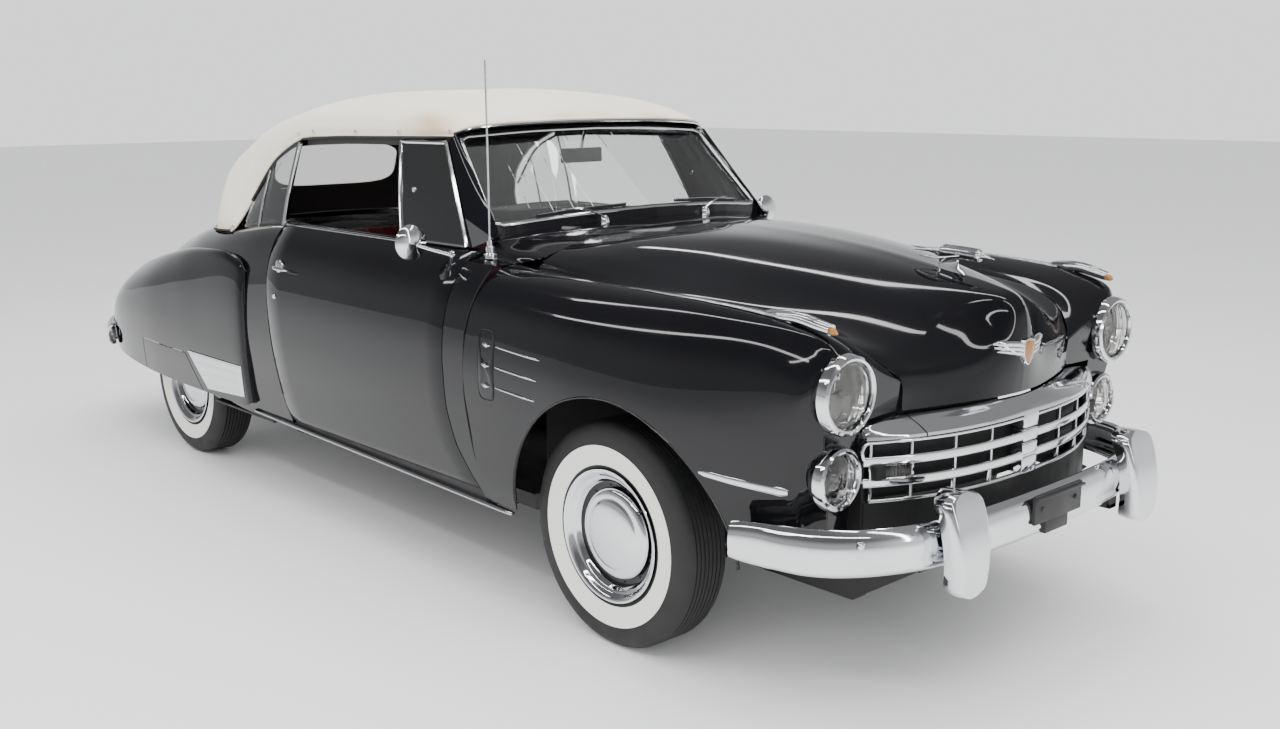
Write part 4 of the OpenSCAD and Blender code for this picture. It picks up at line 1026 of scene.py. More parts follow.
@dataclass
class FoldingTop:
    """The cloth top, its rear window, bindings and snaps."""

    thick: float = 6.0
    window_half: float = 330.0
    rows = [
        [(535, 602, 1512), (552, 596, 1530), (575, 540, 1548), (592, 400, 1558), (608, 200, 1564),
            (615, 0, 1566)],
        [(400, 632, 1508), (400, 630, 1545), (392, 590, 1588), (386, 440, 1628), (384, 220, 1652),
            (384, 0, 1660)],
        [(100, 645, 1503), (100, 645, 1545), (100, 605, 1600), (100, 450, 1645), (100, 220, 1670),
            (100, 0, 1677)],
        [(-200, 652, 1497), (-200, 652, 1540), (-200, 612, 1598), (-200, 455, 1644), (-200, 222, 1671),
            (-200, 0, 1678)],
        [(-436, 655, 1486), (-436, 655, 1530), (-436, 614, 1588), (-436, 456, 1634), (-436, 225, 1662),
            (-436, 0, 1670)],
        [(-640, 662, 1410), (-650, 658, 1470), (-660, 615, 1545), (-670, 460, 1600), (-680, 230, 1635),
            (-685, 0, 1645)],
        [(-780, 675, 1300), (-810, 668, 1390), (-850, 625, 1480), (-880, 480, 1550), (-905, 240, 1590),
            (-915, 0, 1603)],
        [(-850, 705, 1190), (-915, 695, 1290), (-990, 640, 1400), (-1060, 500, 1470), (-1110, 255, 1515),
            (-1130, 0, 1530)],
        [(-890, 745, 1110), (-1010, 735, 1180), (-1120, 670, 1290), (-1230, 520, 1360), (-1300, 270, 1400),
            (-1320, 0, 1415)],
        [(-915, 762, 1084), (-1080, 740, 1074), (-1230, 685, 1068), (-1345, 540, 1076), (-1415, 290, 1088),
            (-1440, 0, 1092)]]

    def grid(self, fine: int = 8) -> np.ndarray:
        """The top's whole surface, with a slight sag between the bows."""
        g = surface_grid(self.rows, fine, fine)
        sag = np.zeros(g.shape[:2])
        for i in range(g.shape[0]):
            for low, high in ((0.6, 2), (2, 4), (4, 6)):
                t = (i / fine - low) / (high - low)
                if 0 < t < 1:
                    sag[i] = 7 * sin(pi * t) * np.clip(1 - g[i, :, 1] / 640, 0, 1) ** 0.5
        g = g.copy()
        g[:, :, 2] -= sag
        steps = np.arange(g.shape[0])[:, None] / fine
        across = np.arange(g.shape[1])[None, :] / fine
        rear = np.clip((steps - 5.2) / 1.2, 0, 1) * np.clip((8.7 - steps) / 0.8, 0, 1)
        side = np.clip(1.6 - np.abs(across - 1.9), 0, 1)
        folds = 3.2 * np.sin(across * 7.4 + steps * 2.1) * rear * side
        front = np.clip(1 - np.abs(steps - 0.9) / 0.9, 0, 1) * np.clip(1.4 - np.abs(across - 1.4), 0, 1)
        folds += 2.4 * np.sin(steps * 9.0 - across * 4.2) * front
        g += grid_normals(g) * folds[:, :, None]
        return closed_over(g)

    def opening(self, grow: float = 0, steps: int = 64) -> list:
        """Outline (y, z) of the rear window."""
        out = []
        for a in np.linspace(0, 2 * pi, steps, endpoint=False):
            c, s = cos(a), sin(a)
            out.append((copysign(abs(c) ** 0.45, c) * (self.window_half - 4 + grow),
                1320 + copysign(abs(s) ** 0.5, s) * (98 + grow)))
        return out

    def window_cutter(self, grow: float = 0) -> Mesh:
        """A block through the rear window opening."""
        o = self.opening(grow)
        rings = [[(x, y, z) for y, z in o] for x in (-1600, -900)]
        return loft("window_cutter", rings)

    def canopy(self) -> Mesh:
        """The cloth as one sheet with its opening, with painted shade at its front corners, along the header
        and along its lower edge.
        """
        g = self.grid()
        obj = sheet_metal("cloth_top", [g], thick=self.thick)
        carve(obj, [self.window_cutter()])
        smooth(obj, 60)
        # Painted shade: darker brown at the front corners, along the header and along the lower edge at the
        # deck.
        marks = obj.data.attributes.new("stain", "FLOAT", "POINT")
        for k, v in enumerate(obj.data.vertices):
            x, y, z = v.co / MM
            corner = exp(-((x - 440) / 130) ** 2 - ((abs(y) - 625) / 60) ** 2)
            header = exp(-((x - 590) / 26) ** 2) * (0.35 + 0.35 * sin(y * 0.021 + 1.3) * sin(y * 0.0071))
            foot = 0.45 * exp(-((z - 1085) / 22) ** 2) if x < -880 else 0
            marks.data[k].value = min(1.0, 0.75 * corner + header + foot)
        dress(obj, PAINTS.canvas)
        obj.data.materials.append(PAINTS.lining)
        for p in obj.data.polygons:
            c = p.center / MM
            inward = Vector((-300 if c.x > -500 else -500, 0, 1150)) - c
            p.material_index = 1 if p.normal.dot(inward) > 0 else 0
        fit(obj, Body.ROOT, ["soft_top"])
        return obj

    def window(self) -> None:
        """Clear sheet with its bound frame."""
        g = closed_over(surface_grid(self.rows, 10, 8))
        pane = sheet_metal("rear_window_sheet", [g + np.array([1.5, 0, -1])], thick=2.5)
        tree = BVHTree.FromObject(pane, bpy.context.evaluated_depsgraph_get())
        edge = []
        for y, z in self.opening(9, 72):
            hit = tree.ray_cast(Vector((-3.0, y * MM, z * MM)), Vector((1, 0, 0)))[0]
            edge.append(tuple(hit / MM + Vector((-5, 0, 2))))
        carve(pane, [self.window_cutter(-1)], "INTERSECT")
        fit(dress(pane, PAINTS.vinyl), Body.ROOT, ["rear_window"])
        rim = tube("rear_window_binding", edge + [edge[0]], 11, n=1, sides=10, flat=0.35, up=(-1, 0, 0.6))
        fit(dress(rim, PAINTS.binding))

    def bindings(self) -> None:
        """Piping round the lower edge, roof drip edge, header strip and snaps."""
        g = self.grid()
        low = g[-1] + np.array([0, 0, 2])
        edge = tube("lower_edge_piping", low + unit_out(low) * 2, 5, n=1, sides=8)
        fit(dress(edge, PAINTS.seal))
        parts = []
        for s in (1, -1):
            col = g[:, 0 if s > 0 else -1]
            side = tube(f"side_piping_{s}", col + np.array([0, 1.5 * s, 0]), 5, n=1, sides=8)
            parts.append(dress(side, PAINTS.binding))
            drip = curve([(540, 604 * s, 1508), (400, 640 * s, 1506), (100, 651 * s, 1500),
                (-200, 657 * s, 1494), (-440, 661 * s, 1480)], 6)
            parts.append(dress(tube(f"drip_strip_{s}", drip, 6, n=1, sides=8, flat=0.8), PAINTS.seal))
        fit(join("side_bindings", parts))
        snaps = []
        half = curve([(-905, 758, 1104), (-925, 752, 1094), (-1080, 742, 1088), (-1230, 688, 1083),
            (-1345, 545, 1090), (-1415, 290, 1104), (-1432, 100, 1108)], 8)
        for k in (1, 5, 9, 18, 26, 34, 42):
            p = half[min(k, len(half) - 1)]
            for s in (1, -1):
                d = Vector((-0.2 if k < 20 else -0.8, s * (1 if k < 26 else 0.5), 0.25)).normalized()
                snaps.append(stud(Vector((p[0], p[1] * s, p[2])) + d * 2, d, 8))
        for x, y, z in ((-470, 661, 1500), (-350, 661, 1512), (-40, 655, 1517), (250, 648, 1522),
                (520, 612, 1530)):
            for s in (1, -1):
                snaps.append(stud(Vector((x, y * s, z)), Vector((0, s, 0.1)).normalized(), 7))
        fit(dress(join("cloth_snaps", snaps), PAINTS.chrome))
        top = curve([(541, 611, 1524), (567, 545, 1541), (585, 400, 1551), (601, 200, 1557), (608, 0, 1559)],
            6)
        line = np.concatenate([top[:-1], (top * ACROSS)[::-1]])
        strip = tube("header_strip", line + np.array([2, 0, -4]), 7, n=1, sides=8, flat=0.8)
        fit(dress(strip, PAINTS.chrome))

    def build(self) -> None:
        """Builds the top."""
        self.canopy()
        self.window()
        self.bindings()


def unit_out(line: np.ndarray) -> np.ndarray:
    """Direction from the body's middle out to each point, level."""
    d = line - np.array([-500, 0, 0])
    d[:, 2] = 0
    return unit_rows(d)


def stud(at: Vector, along: Vector, radius: float) -> Mesh:
    """A small domed fastener that faces along."""
    obj = revolve("stud", [(0, 4), (radius * 0.5, 3.5), (radius * 0.85, 2.2), (radius, 0.6), (radius, -2),
        (0, -2)], (0, 0, 0), "Z", 16)
    turn = Vector((0, 0, 1)).rotation_difference(along).to_matrix().to_4x4()
    obj.data.transform(Matrix.Translation(at * MM) @ turn)
    return obj


# ---- bright work


def nose_x(y: float) -> float:
    """Plan line of the grille."""
    return 2480 - 135 * (abs(y) / 575) ** 2.6


def nose_bar(name: str, half: float, z0: float, z1: float, off: float, deep: float, round_by: float = 5,
        steps: int = 48) -> Mesh:
    """A bar with rounded edges along the grille's plan line."""
    rings = []
    r = min(round_by, (z1 - z0) / 2.05, deep / 2.05)
    for y in np.linspace(-half, half, steps + 1):
        ring = []
        for cx, cz, a0 in ((-r, z1 - r, 0), (-deep + r, z1 - r, 90), (-deep + r, z0 + r, 180),
                (-r, z0 + r, 270)):
            for a in np.linspace(a0, a0 + 90, 5):
                ring.append((nose_x(y) + off + cx + r * cos(radians(a)), y, cz + r * sin(radians(a))))
        rings.append(ring)
    return loft(name, rings)


@dataclass
class Grille:
    """Grille bars, moulding, centre block and parking lamps."""

    z: tuple = (586.0, 758.0)
    moulding_rows = [
        (0, 2446, 811, 772), (110, 2434, 811, 771), (190, 2416, 810, 771), (300, 2384, 809, 770),
        (424, 2343, 808, 769), (505, 2338, 804, 768), (560, 2334, 796, 768), (582, 2326, 786, 768)]

    def moulding(self, low: float, high: float, name: str) -> Mesh:
        """One length of the sloped moulding between two distances from the middle."""
        table = np.array(self.moulding_rows, float)
        fine = curve([(r[0], r[1], r[2], r[3]) for r in table], 8)
        rings = []
        for y in np.linspace(low, high, 24):
            a = abs(y)
            bx, bz, fz = (float(np.interp(a, fine[:, 0], fine[:, k])) for k in (1, 2, 3))
            fx = nose_x(y) + 7
            ring = []
            for t in np.linspace(0, 1, 12):
                bulge = 4.5 * sin(pi * t) + 2 * sin(pi * min(1, t * 3)) * (t < 0.34)
                ring.append((bx + (fx - bx) * t + bulge * 0.4, y, bz + 1 + (fz - bz) * t + bulge))
            ring += [(fx + 1, y, fz - 7), (fx - 4, y, fz - 9), (bx + 4, y, bz - 9), (bx - 2, y, bz - 6)]
            rings.append(ring)
        return dress(loft(name, rings), PAINTS.chrome)

    def bars(self) -> list:
        """Bars and uprights."""
        out = [nose_bar("upper_frame", 572, 748, 758, 2, 14, 4), nose_bar("lower_frame", 566, 586, 596, 0, 12,
            4)]
        for z in (631, 689):
            out.append(nose_bar("thick_bar", 584, z - 1, z + 25, 4, 18, 5))
        for y in (-562, -455, -318, -178, 178, 318, 455, 562):
            out.append(box_piece("upright", (nose_x(y) - 14, y - 3.5, 590), (nose_x(y) - 1, y + 3.5, 754),
                1.6))
        for s in (1, -1):
            out.append(tube("frame_end", [(nose_x(566) - 4, 560 * s, 753), (nose_x(578) - 2, 578 * s, 748),
                (nose_x(585), 588 * s, 730), (nose_x(580), 583 * s, 708)], 5.5, n=5))
        for p in out:
            dress(p, PAINTS.chrome)
        return out

    def centre(self) -> list:
        """Stepped centre block."""
        out = []
        for lo, hi in ((588, 640), (642, 680), (682, 720), (722, 768)):
            b = box_piece("centre_segment", (2440, -37, lo), (2487, 37, hi), 6, 3)
            out.append(dress(b, PAINTS.chrome))
        core = box_piece("centre_core", (2440, -30, 590), (2478, 30, 764), 2)
        out.append(dress(core, PAINTS.shadow))
        return out

    def parking(self) -> list:
        """Ribbed rectangular lamps at both ends."""
        out = []
        for s in (1, -1):
            y0, y1 = sorted((460 * s, 566 * s))
            x = nose_x(510)
            body = box_piece("parking_body", (x - 34, y0, 652), (x - 6, y1, 692), 3)
            out.append(dress(body, PAINTS.shadow))
            rings = []
            for y in np.linspace(y0 + 6, y1 - 6, 40):
                wave = 1.5 * sin((y - y0) * 0.9)
                k = nose_x(y) + 1
                rings.append([(k + wave, y, 688), (k + 4 + wave, y, 683), (k + 4 + wave, y, 661),
                    (k + wave, y, 656), (k - 7, y, 656), (k - 7, y, 688)])
            out.append(dress(loft("parking_lens", rings), PAINTS.lens))
            loop = [(nose_x(y) + 2, y, z) for y, z in ((y0, 652), ((y0 + y1) / 2, 650), (y1, 652),
                (y1 + 1, 672), (y1, 692), ((y0 + y1) / 2, 694), (y0, 692), (y0 - 1, 672))]
            out.append(dress(tube("parking_rim", loop + [loop[0]], 4, n=4, sides=8), PAINTS.chrome))
        return out

    def build(self) -> None:
        """Builds the grille."""
        parts = self.bars() + self.centre() + self.parking()
        parts += [self.moulding(-421, 421, "centre_moulding"), self.moulding(425, 581, "left_moulding"),
            self.moulding(-581, -425, "right_moulding")]
        fit(join("grille_assembly", parts), Body.ROOT, ["grille"])
        back = nose_bar("grille_shadow_plate", 570, 590, 755, -40, 3, 1)
        fit(dress(back, PAINTS.shadow))


@dataclass
class Bumpers:
    """Wrap-round bumpers with their guards, irons and plate bracket."""

    tall: float = 128.0
    front = [(2578, 0), (2574, 200), (2560, 400), (2520, 580), (2440, 730), (2330, 820), (2131, 880)]
    rear = [(-2580, 0), (-2576, 200), (-2562, 400), (-2522, 580), (-2450, 720), (-2350, 800), (-2200, 850)]
    section = [
        (34, -0.47), (24, -0.5), (12, -0.46), (5, -0.38), (2, -0.3), (5, -0.23), (2, -0.15), (0, 0),
            (2, 0.15), (5, 0.27),
        (10, 0.36), (18, 0.45), (27, 0.5), (36, 0.48)]

    def bar(self, name: str, path: list, z: float, way: int) -> Mesh:
        """The pressed face bar, thick as its sheet."""
        line = curve(path, 10)
        full = np.concatenate([line[::-1] * np.array([1, -1]), line[1:]])
        d = np.gradient(full, axis=0)
        d = d / np.linalg.norm(d, axis=1, keepdims=True)
        rings = []
        n = len(full)
        for i, (p, t) in enumerate(zip(full, d)):
            out = np.array([t[1], -t[0]])
            if out @ np.array([way, 0]) < 0 and abs(p[1]) < 700 or out @ p < 0:
                out = -out
            end = min(i, n - 1 - i) / 10
            size = min(1.0, 0.78 + 0.22 * sqrt(min(end, 1)))
            ring = []
            for back, h in self.section:
                q = p - out * back * (1 if end > 0.5 else 0.8)
                ring.append((q[0], q[1], z + h * self.tall * size))
            for back, h in self.section[::-1]:
                q = p - out * (back + 4)
                ring.append((q[0], q[1], z + h * 0.96 * self.tall * size))
            rings.append(ring)
        return dress(loft(name, rings), PAINTS.chrome)

    def guard(self, name: str, x: float, y: float, way: int, tall: float = 276) -> Mesh:
        """A shield-shaped guard: full at the top, drawn in below."""
        rings = []
        for t in np.linspace(0, 1, 22):
            z = 507 + tall * (0.5 - t)
            crown = sqrt(max(0.0, 1 - max(0.0, (0.12 - t) / 0.12) ** 2.2))
            foot = sqrt(max(0.0, 1 - max(0.0, (t - 0.9) / 0.1) ** 2.2))
            wide = max(80 * (1 - 0.22 * t ** 1.6) * crown * foot, 18)
            out = 30 * sin(pi * min(1, 0.12 + t * 0.62)) + 8 - 30 * (1 - t) ** 3
            ring = []
            for a in np.linspace(-pi / 2, pi / 2, 17):
                u, v = sin(a), cos(a)
                ring.append((x + way * (out - 26 + 26 * min(1, v * 1.9) ** 0.7), y + wide * u, z))
            for a in np.linspace(pi / 2, -pi / 2, 9):
                ring.append((x + way * (out - 60 - 8 * cos(a)), y + wide * 0.86 * sin(a), z))
            rings.append(ring)
        return dress(loft(name, rings), PAINTS.chrome)

    def build(self) -> None:
        """Builds both bumpers."""
        front = [self.bar("front_face_bar", self.front, 500, 1)]
        for s in (1, -1):
            front.append(self.guard("front_guard", 2586, 460 * s, 1))
            y0, y1 = sorted((365 * s, 405 * s))
            for lo, hi in (((2400.5, y0, 365), (2410, y1, 426)), ((2405, y0, 410), (2552, y1, 426)),
                    ((2540, y0, 410), (2552, y1, 520))):
                front.append(dress(box_piece("bumper_iron", lo, hi, 2), PAINTS.steel))
            at = (nose_bump(self.front, 720) + 1, 720 * s, 530)
            bolt = revolve("bumper_bolt", [(0, 6), (6, 5), (11, 2), (12, -2), (0, -2)], at, "X", 18)
            front.append(dress(bolt, PAINTS.chrome))
        fit(join("front_bumper_assembly", front), Body.ROOT, ["front_bumper"])
        rear = [self.bar("rear_face_bar", self.rear, 470, -1)]
        for s in (1, -1):
            rear.append(self.guard("rear_guard", -2584, 380 * s, -1, 262))
            y0, y1 = sorted((365 * s, 405 * s))
            rear.append(dress(box_piece("bumper_iron", (-2554, y0, 450), (-2350.3, y1, 490), 2),
                PAINTS.steel))
        fit(join("rear_bumper_assembly", rear), Body.ROOT, ["rear_bumper"])
        plate = [box_piece("bracket_flange", (2575, -124, 478), (2586, 124, 562), 2.5),
            box_piece("bracket_lip", (2580, -128, 548), (2596, 128, 556), 2.5),
            box_piece("bracket_foot", (2560, -60, 440), (2583, 60, 482), 3)]
        for y in (-89, 89):
            plate.append(revolve("bracket_bolt", [(0, 5), (6, 4), (8, 0), (8, -2), (0, -2)], (2587, y, 520),
                "X", 12))
        for p in plate:
            dress(p, PAINTS.steel)
        fit(join("plate_bracket_trim", plate))


def nose_bump(path: list, y: float) -> float:
    """How far forward the bumper's line is at y."""
    line = curve(path, 10)
    return float(np.interp(y, line[:, 1], line[:, 0]))


class Lamps:
    """Headlamps, fog lamps and tail lamps."""

    def round_lamp(self, at: tuple, r: float, name: str, deep: float, dome: float) -> list:
        """Bezel, fluted glass, bright bowl, bulb, can and screw."""
        chrome, low = PAINTS.chrome, (at[0] + 24, at[1], at[2] - r + 11)
        table = (
            ("bezel", chrome, 72, at, [(r - 24, 2), (r - 22, 16), (r - 17, 25), (r - 11, 27), (r - 4, 22),
                (r - 0.5, 12),
            (r, 2), (r, -4), (r - 8, -6), (r - 24, -6)]),
            ("glass", PAINTS.lens, 72, at, [(0, dome + 14), (r * 0.3, dome + 12.5), (r * 0.55, dome + 8),
            (r * 0.72, dome), (r - 23, 13), (r - 23, 8), (r * 0.7, dome - 7),
            (r * 0.5, dome + 1), (0, dome + 8)]),
            ("bowl", chrome, 48, at, [(r - 22, 8), (r * 0.7, -18), (r * 0.5, -36), (r * 0.25, -46), (0, -48),
                (0, -52),
            (r * 0.3, -50), (r * 0.56, -39), (r * 0.76, -20), (r - 19, 6)]),
            ("bulb", PAINTS.glass, 24, at, [(0, 6), (8, 3), (12, -6), (10, -20), (7, -30), (7, -46),
                (0, -46)]),
            ("can", PAINTS.steel, 40, at, [(0, -deep), (r * 0.55, -deep), (r * 0.78, -deep + 14),
                (r * 0.8, -6),
            (r * 0.8 + 1, -2), (r * 0.74, -2), (r * 0.73, -deep + 22),
            (0, -deep + 6)]),
            ("screw", chrome, 12, low, [(0, 4), (4, 3), (6, 0), (6, -2), (0, -2)]))
        return [dress(revolve(f"{name}_{part}", profile, place, "X", steps), paint)
                for part, paint, steps, place, profile in table]

    def build(self) -> None:
        """Builds all lamps."""
        fit(join("headlamp_assemblies", both(self.round_lamp(HEADLAMP, 108, "headlamp", 60, 18))), Body.ROOT,
            ["headlamps"])
        fit(join("fog_lamp_assemblies", both(self.round_lamp(FOG_LAMP, 88, "fog_lamp", 50, 14))), Body.ROOT,
            ["fog_lamps"])
        at = (-2447, 604, 540)
        rim = revolve("tail_rim", [(24, 4), (27, 9), (31, 7), (33, -2), (24, -3)], at, "X", 40, flip=-1)
        lens = revolve("tail_lens", [(0, 22), (8, 21), (16, 17), (22, 10), (25, 3), (25, -2), (0, -2)], at,
            "X", 40, flip=-1)
        dress(rim, PAINTS.chrome)
        dress(lens, PAINTS.red)
        fit(join("tail_lamp_assemblies", both([rim, lens])), Body.ROOT, ["tail_lamps"])


@dataclass
class RoadWheels:
    """Tyres with whitewalls, rims, trim rings and domed covers, made once and copied to four corners."""

    front: tuple = (1560.0, 717.0)
    rear: tuple = (REAR_AXLE, 686.0)

    def tyre(self) -> Mesh:
        """One tyre centred on its own middle, outer side to +Y."""
        tread = []
        for y in (-58, -42, -26, -10, 6, 22, 38):
            tread += [(350, y), (350, y + 11.5), (343, y + 12.6), (343, y + 14.8)]
        tread.append((350, 54))
        tread.append((349.5, 59))
        side = [(345, 68), (340, 75), (330, 82), (318, 86), (300, 88.6), (283, 89), (281, 89.2), (279, 88.2),
            (262, 87.4), (246, 86), (232, 84.2), (220, 82), (218.5, 80.6), (212, 79), (207.6, 77)]
        prof = [(190, 0)] + [(190, 40), (199, 62)] + side[::-1] + tread[::-1] + [(r, -y) for r,
            y in side] + [(199, -62), (190, -40), (190, 0)]
        obj = dress(revolve("tyre", prof, (0, 0, 0), "Y", 120), PAINTS.rubber)
        obj.data.materials.append(PAINTS.whitewall)
        for p in obj.data.polygons:
            c = p.center / MM
            r = hypot(c.x, c.z)
            if 218.6 < r < 280.5 and c.y > 70:
                p.material_index = 1
        return smooth(obj, 28)

    def wheel(self) -> list:
        """Disc wheel, bright ring and cover."""
        rim = dress(revolve("rim", [(23, 28), (23, 12), (60, 12), (72, 34), (120, 38), (150, 34), (168, 18),
            (176, -30), (176, -66), (190, -79), (206, -84), (207, -80), (206, -77), (195, -70), (186, -40),
            (186, 34),
            (192, 62), (200, 70), (206, 77), (207, 81), (206, 84), (198, 83), (190, 76), (180, 62), (168, 50),
                (150, 42), (120, 46), (74, 42), (60, 28)], (0, 0, 0), "Y", 96), PAINTS.enamel)
        ring = dress(revolve("trim_ring", [(164, 50), (168, 54), (172, 62), (176, 66), (180, 67), (184, 70),
            (190, 78), (196, 83), (202, 86), (206, 86), (207, 84), (205, 82), (198, 80), (190, 74), (183, 65),
            (174, 60), (168, 49)],
            (0, 0, 0), "Y", 96), PAINTS.chrome)
        cap = dress(revolve("cover", [(0, 79.8), (20, 79.6), (40, 78.4), (60, 76.4), (80, 73.6), (98, 70),
            (106, 67), (109, 64.5), (114, 64), (124, 63.5), (134, 60), (141, 54), (143, 49), (141, 45),
            (134, 44), (120, 52),
            (90, 60), (50, 68), (0, 72)], (0, 0, 0), "Y", 96), PAINTS.chrome)
        bend = [(r * cos(0.7), y, r * sin(0.7)) for r, y in ((158, 44), (160, 56), (156, 70))]
        stem = dress(tube("valve_stem", bend, 3.6, n=3, sides=10), PAINTS.rubber)
        slots = []
        for k in range(12):
            a = 2 * pi * k / 12 + 0.2
            place = Vector((152 * cos(a), 40.5, 152 * sin(a)))
            slots.append(dress(stud(place, Vector((0, 1, 0)), 7), PAINTS.shadow))
        return [rim, ring, cap, stem] + slots

    def build(self) -> None:
        """Builds one wheel and one tyre and copies them to the corners."""
        masters = (("tyre", self.tyre(), "tyre"), ("wheel", join("wheel_master", self.wheel()),
            "wheel_paint"))
        for end, (x, y) in (("front", self.front), ("rear", self.rear)):
            for side in Side:
                for kind, master, slot in masters:
                    obj = twin(master, f"{kind}_set_{end}_{side.word}")
                    if side is Side.RIGHT:
                        turn_over(obj)
                    obj.data.transform(Matrix.Translation(Vector((x, y * side.value, AXLE_Z)) * MM))
                    fit(obj, f"wheel_{end}_{side.word}", [f"{kind}_{end}_{side.word}"])
        for kind, master, slot in masters:
            bpy.data.objects.remove(master)


# ---- trim


class Trim:
    """Ornaments, spears, side strips, vents, stone guards, wipers and the windshield's bright frame."""

    def spear(self) -> list:
        """Fender spear with its ribbed torpedo and amber tip."""
        out = []
        g = surface_grid(stations(FrontEnd.fender_rows), 8, 6)
        tree = BVHTree.FromPolygons([tuple(p) for p in g.reshape(-1, 3)], grid_part(g)[1])

        def top(x: float, y: float) -> float:
            """Height of the fender at x and y."""
            hit = tree.ray_cast(Vector((x, y, 1400)), Vector((0, 0, -1)))[0]
            return hit.z if hit else 1090.0

        line = [(1590, 738), (1750, 733), (1950, 724), (2120, 716), (2200, 712)]
        blade = tube("fender_spear", [(x, y, top(x, y) + 1.5) for x, y in line], 13, n=8, sides=14,
            taper=[0.1, 0.35, 0.65, 0.95, 1.1], flat=0.42)
        out.append(dress(blade, PAINTS.chrome))
        z0, z1 = top(2200, 712) + 12, 1068
        spine = [(2110, 714, top(2110, 714) + 6), (2160, 713, z0 + 2), (2220, 710, z0 + 2),
            (2280, 706, z1 + 8), (2318, 702, z1 + 1)]
        body = tube("ornament_body", spine, 19, n=10, sides=24, taper=[0.3, 0.95, 1.08, 1.05, 0.95], flat=0.8)
        out.append(dress(body, PAINTS.chrome))
        for k in range(-2, 3):
            rib = tube("ornament_rib", [(x, y + k * 6.4, z + (17 - abs(k) * 3.2) * (1 if 0 < i < 4 else 0.3))
                for i, (x, y, z) in enumerate(spine)], 1.7, n=6, sides=8)
            out.append(dress(rib, PAINTS.chrome))
        tip = tube("ornament_tip", [(2312, 702.5, z1 - 1), (2326, 701, z1 - 4), (2336, 700, z1 - 7)], 11, n=5,
            sides=18, taper=[0.95, 0.85, 0.3])
        out.append(dress(tip, PAINTS.amber))
        return out

    def hood_ornament(self) -> Mesh:
        """Ribbed jet on a swept stand."""
        parts = [tube("jet_barrel", [(2160, 0, 1199), (2168, 0, 1199), (2230, 0, 1197), (2284, 0, 1194),
            (2294, 0, 1193)], 21, n=8, sides=28, taper=[0.7, 1, 1.03, 1, 0.7], flat=0.85),
            tube("jet_tail", [(2056, 0, 1196), (2110, 0, 1198), (2166, 0, 1199)], 9, n=6, sides=14,
                taper=[0.15, 0.7, 1]),
            tube("jet_nose", [(2288, 0, 1193), (2312, 0, 1191), (2336, 0, 1188)], 9, n=6, sides=14,
                taper=[1, 0.7, 0.1])]
        for k in range(-4, 5):
            a = k * 0.42
            parts.append(tube("jet_rib", [(x, 22 * sin(a), z + 18.5 * cos(a)) for x, z in ((2168, 1199),
                (2230, 1197), (2286, 1194))], 2.4, n=4, sides=8))
        for s in (1, -1):
            parts.append(tube("jet_wing", [(2080, 14 * s, 1192), (2130, 52 * s, 1188), (2185, 62 * s, 1187),
                (2230, 20 * s, 1191)], 11, n=6, sides=14, taper=[0.3, 0.9, 1, 0.5], flat=0.3))
        rings = []
        for t in np.linspace(0, 1, 10):
            z = 1142 + 50 * t
            a, b = 60 - 26 * sin(pi * t * 0.9), 11 - 4 * sin(pi * t)
            rings.append([(2190 + a * cos(q) - 12 * t, b * sin(q), z - (6 if t == 0 else 0)
                - 0.06 * (a * cos(q)) * (1 - t)) for q in np.linspace(0, 2 * pi, 24, endpoint=False)])
        parts.append(loft("jet_stand", rings))
        return dress(join("hood_ornament", parts), PAINTS.chrome)

    def emblem(self) -> Mesh:
        """Plain shield with swept wings on the prow."""
        outline = [(0, 978), (18, 975), (29, 970), (30, 948), (25, 922), (12, 905), (0, 896), (-12, 905),
            (-25, 922), (-30, 948), (-29, 970), (-18, 975)]
        loop = curve([(0, y, z) for y, z in outline + [outline[0]]], 4)[:-1]
        mid = loop.mean(axis=0)
        rings = []
        for x, k in ((2440, 1.0), (2459, 1.0), (2465, 0.94), (2466, 0.84), (2462, 0.80)):
            rings.append([(x + 0.0325 * (p[2] - 940), mid[1] + (p[1] - mid[1]) * k, mid[2] + (p[2] - mid[2])
                * k) for p in loop])
        shield = dress(loft("emblem_shield", rings), PAINTS.chrome)
        rings = [[(x, mid[1] + (p[1] - mid[1]) * k, mid[2] + (p[2] - mid[2]) * k) for p in loop] for x,
            k in ((2455, 0.80), (2465, 0.78), (2469, 0.6), (2470.5, 0.3), (2471, 0.05))]
        inset = dress(loft("emblem_inset", rings), PAINTS.amber)
        parts = [shield, inset]
        for s in (1, -1):
            for z, reach, r in ((964, 126, 10.5), (952, 118, 10.5), (940, 104, 10)):
                pts = [(2455, 20 * s, z - 8), (2454, 50 * s, z + 1), (2442 - reach * 0.03, reach * 0.75 * s,
                    z + 5), (2432 - reach * 0.06, reach * s, z + 5)]
                parts.append(dress(tube("emblem_wing", pts, r, n=6, sides=12, taper=[1, 1.05, 0.9, 0.15],
                    flat=0.9), PAINTS.chrome))
        return join("prow_emblem", parts)

    def side(self) -> list:
        """Vent flap with its seam, diamonds and strips."""
        out = []

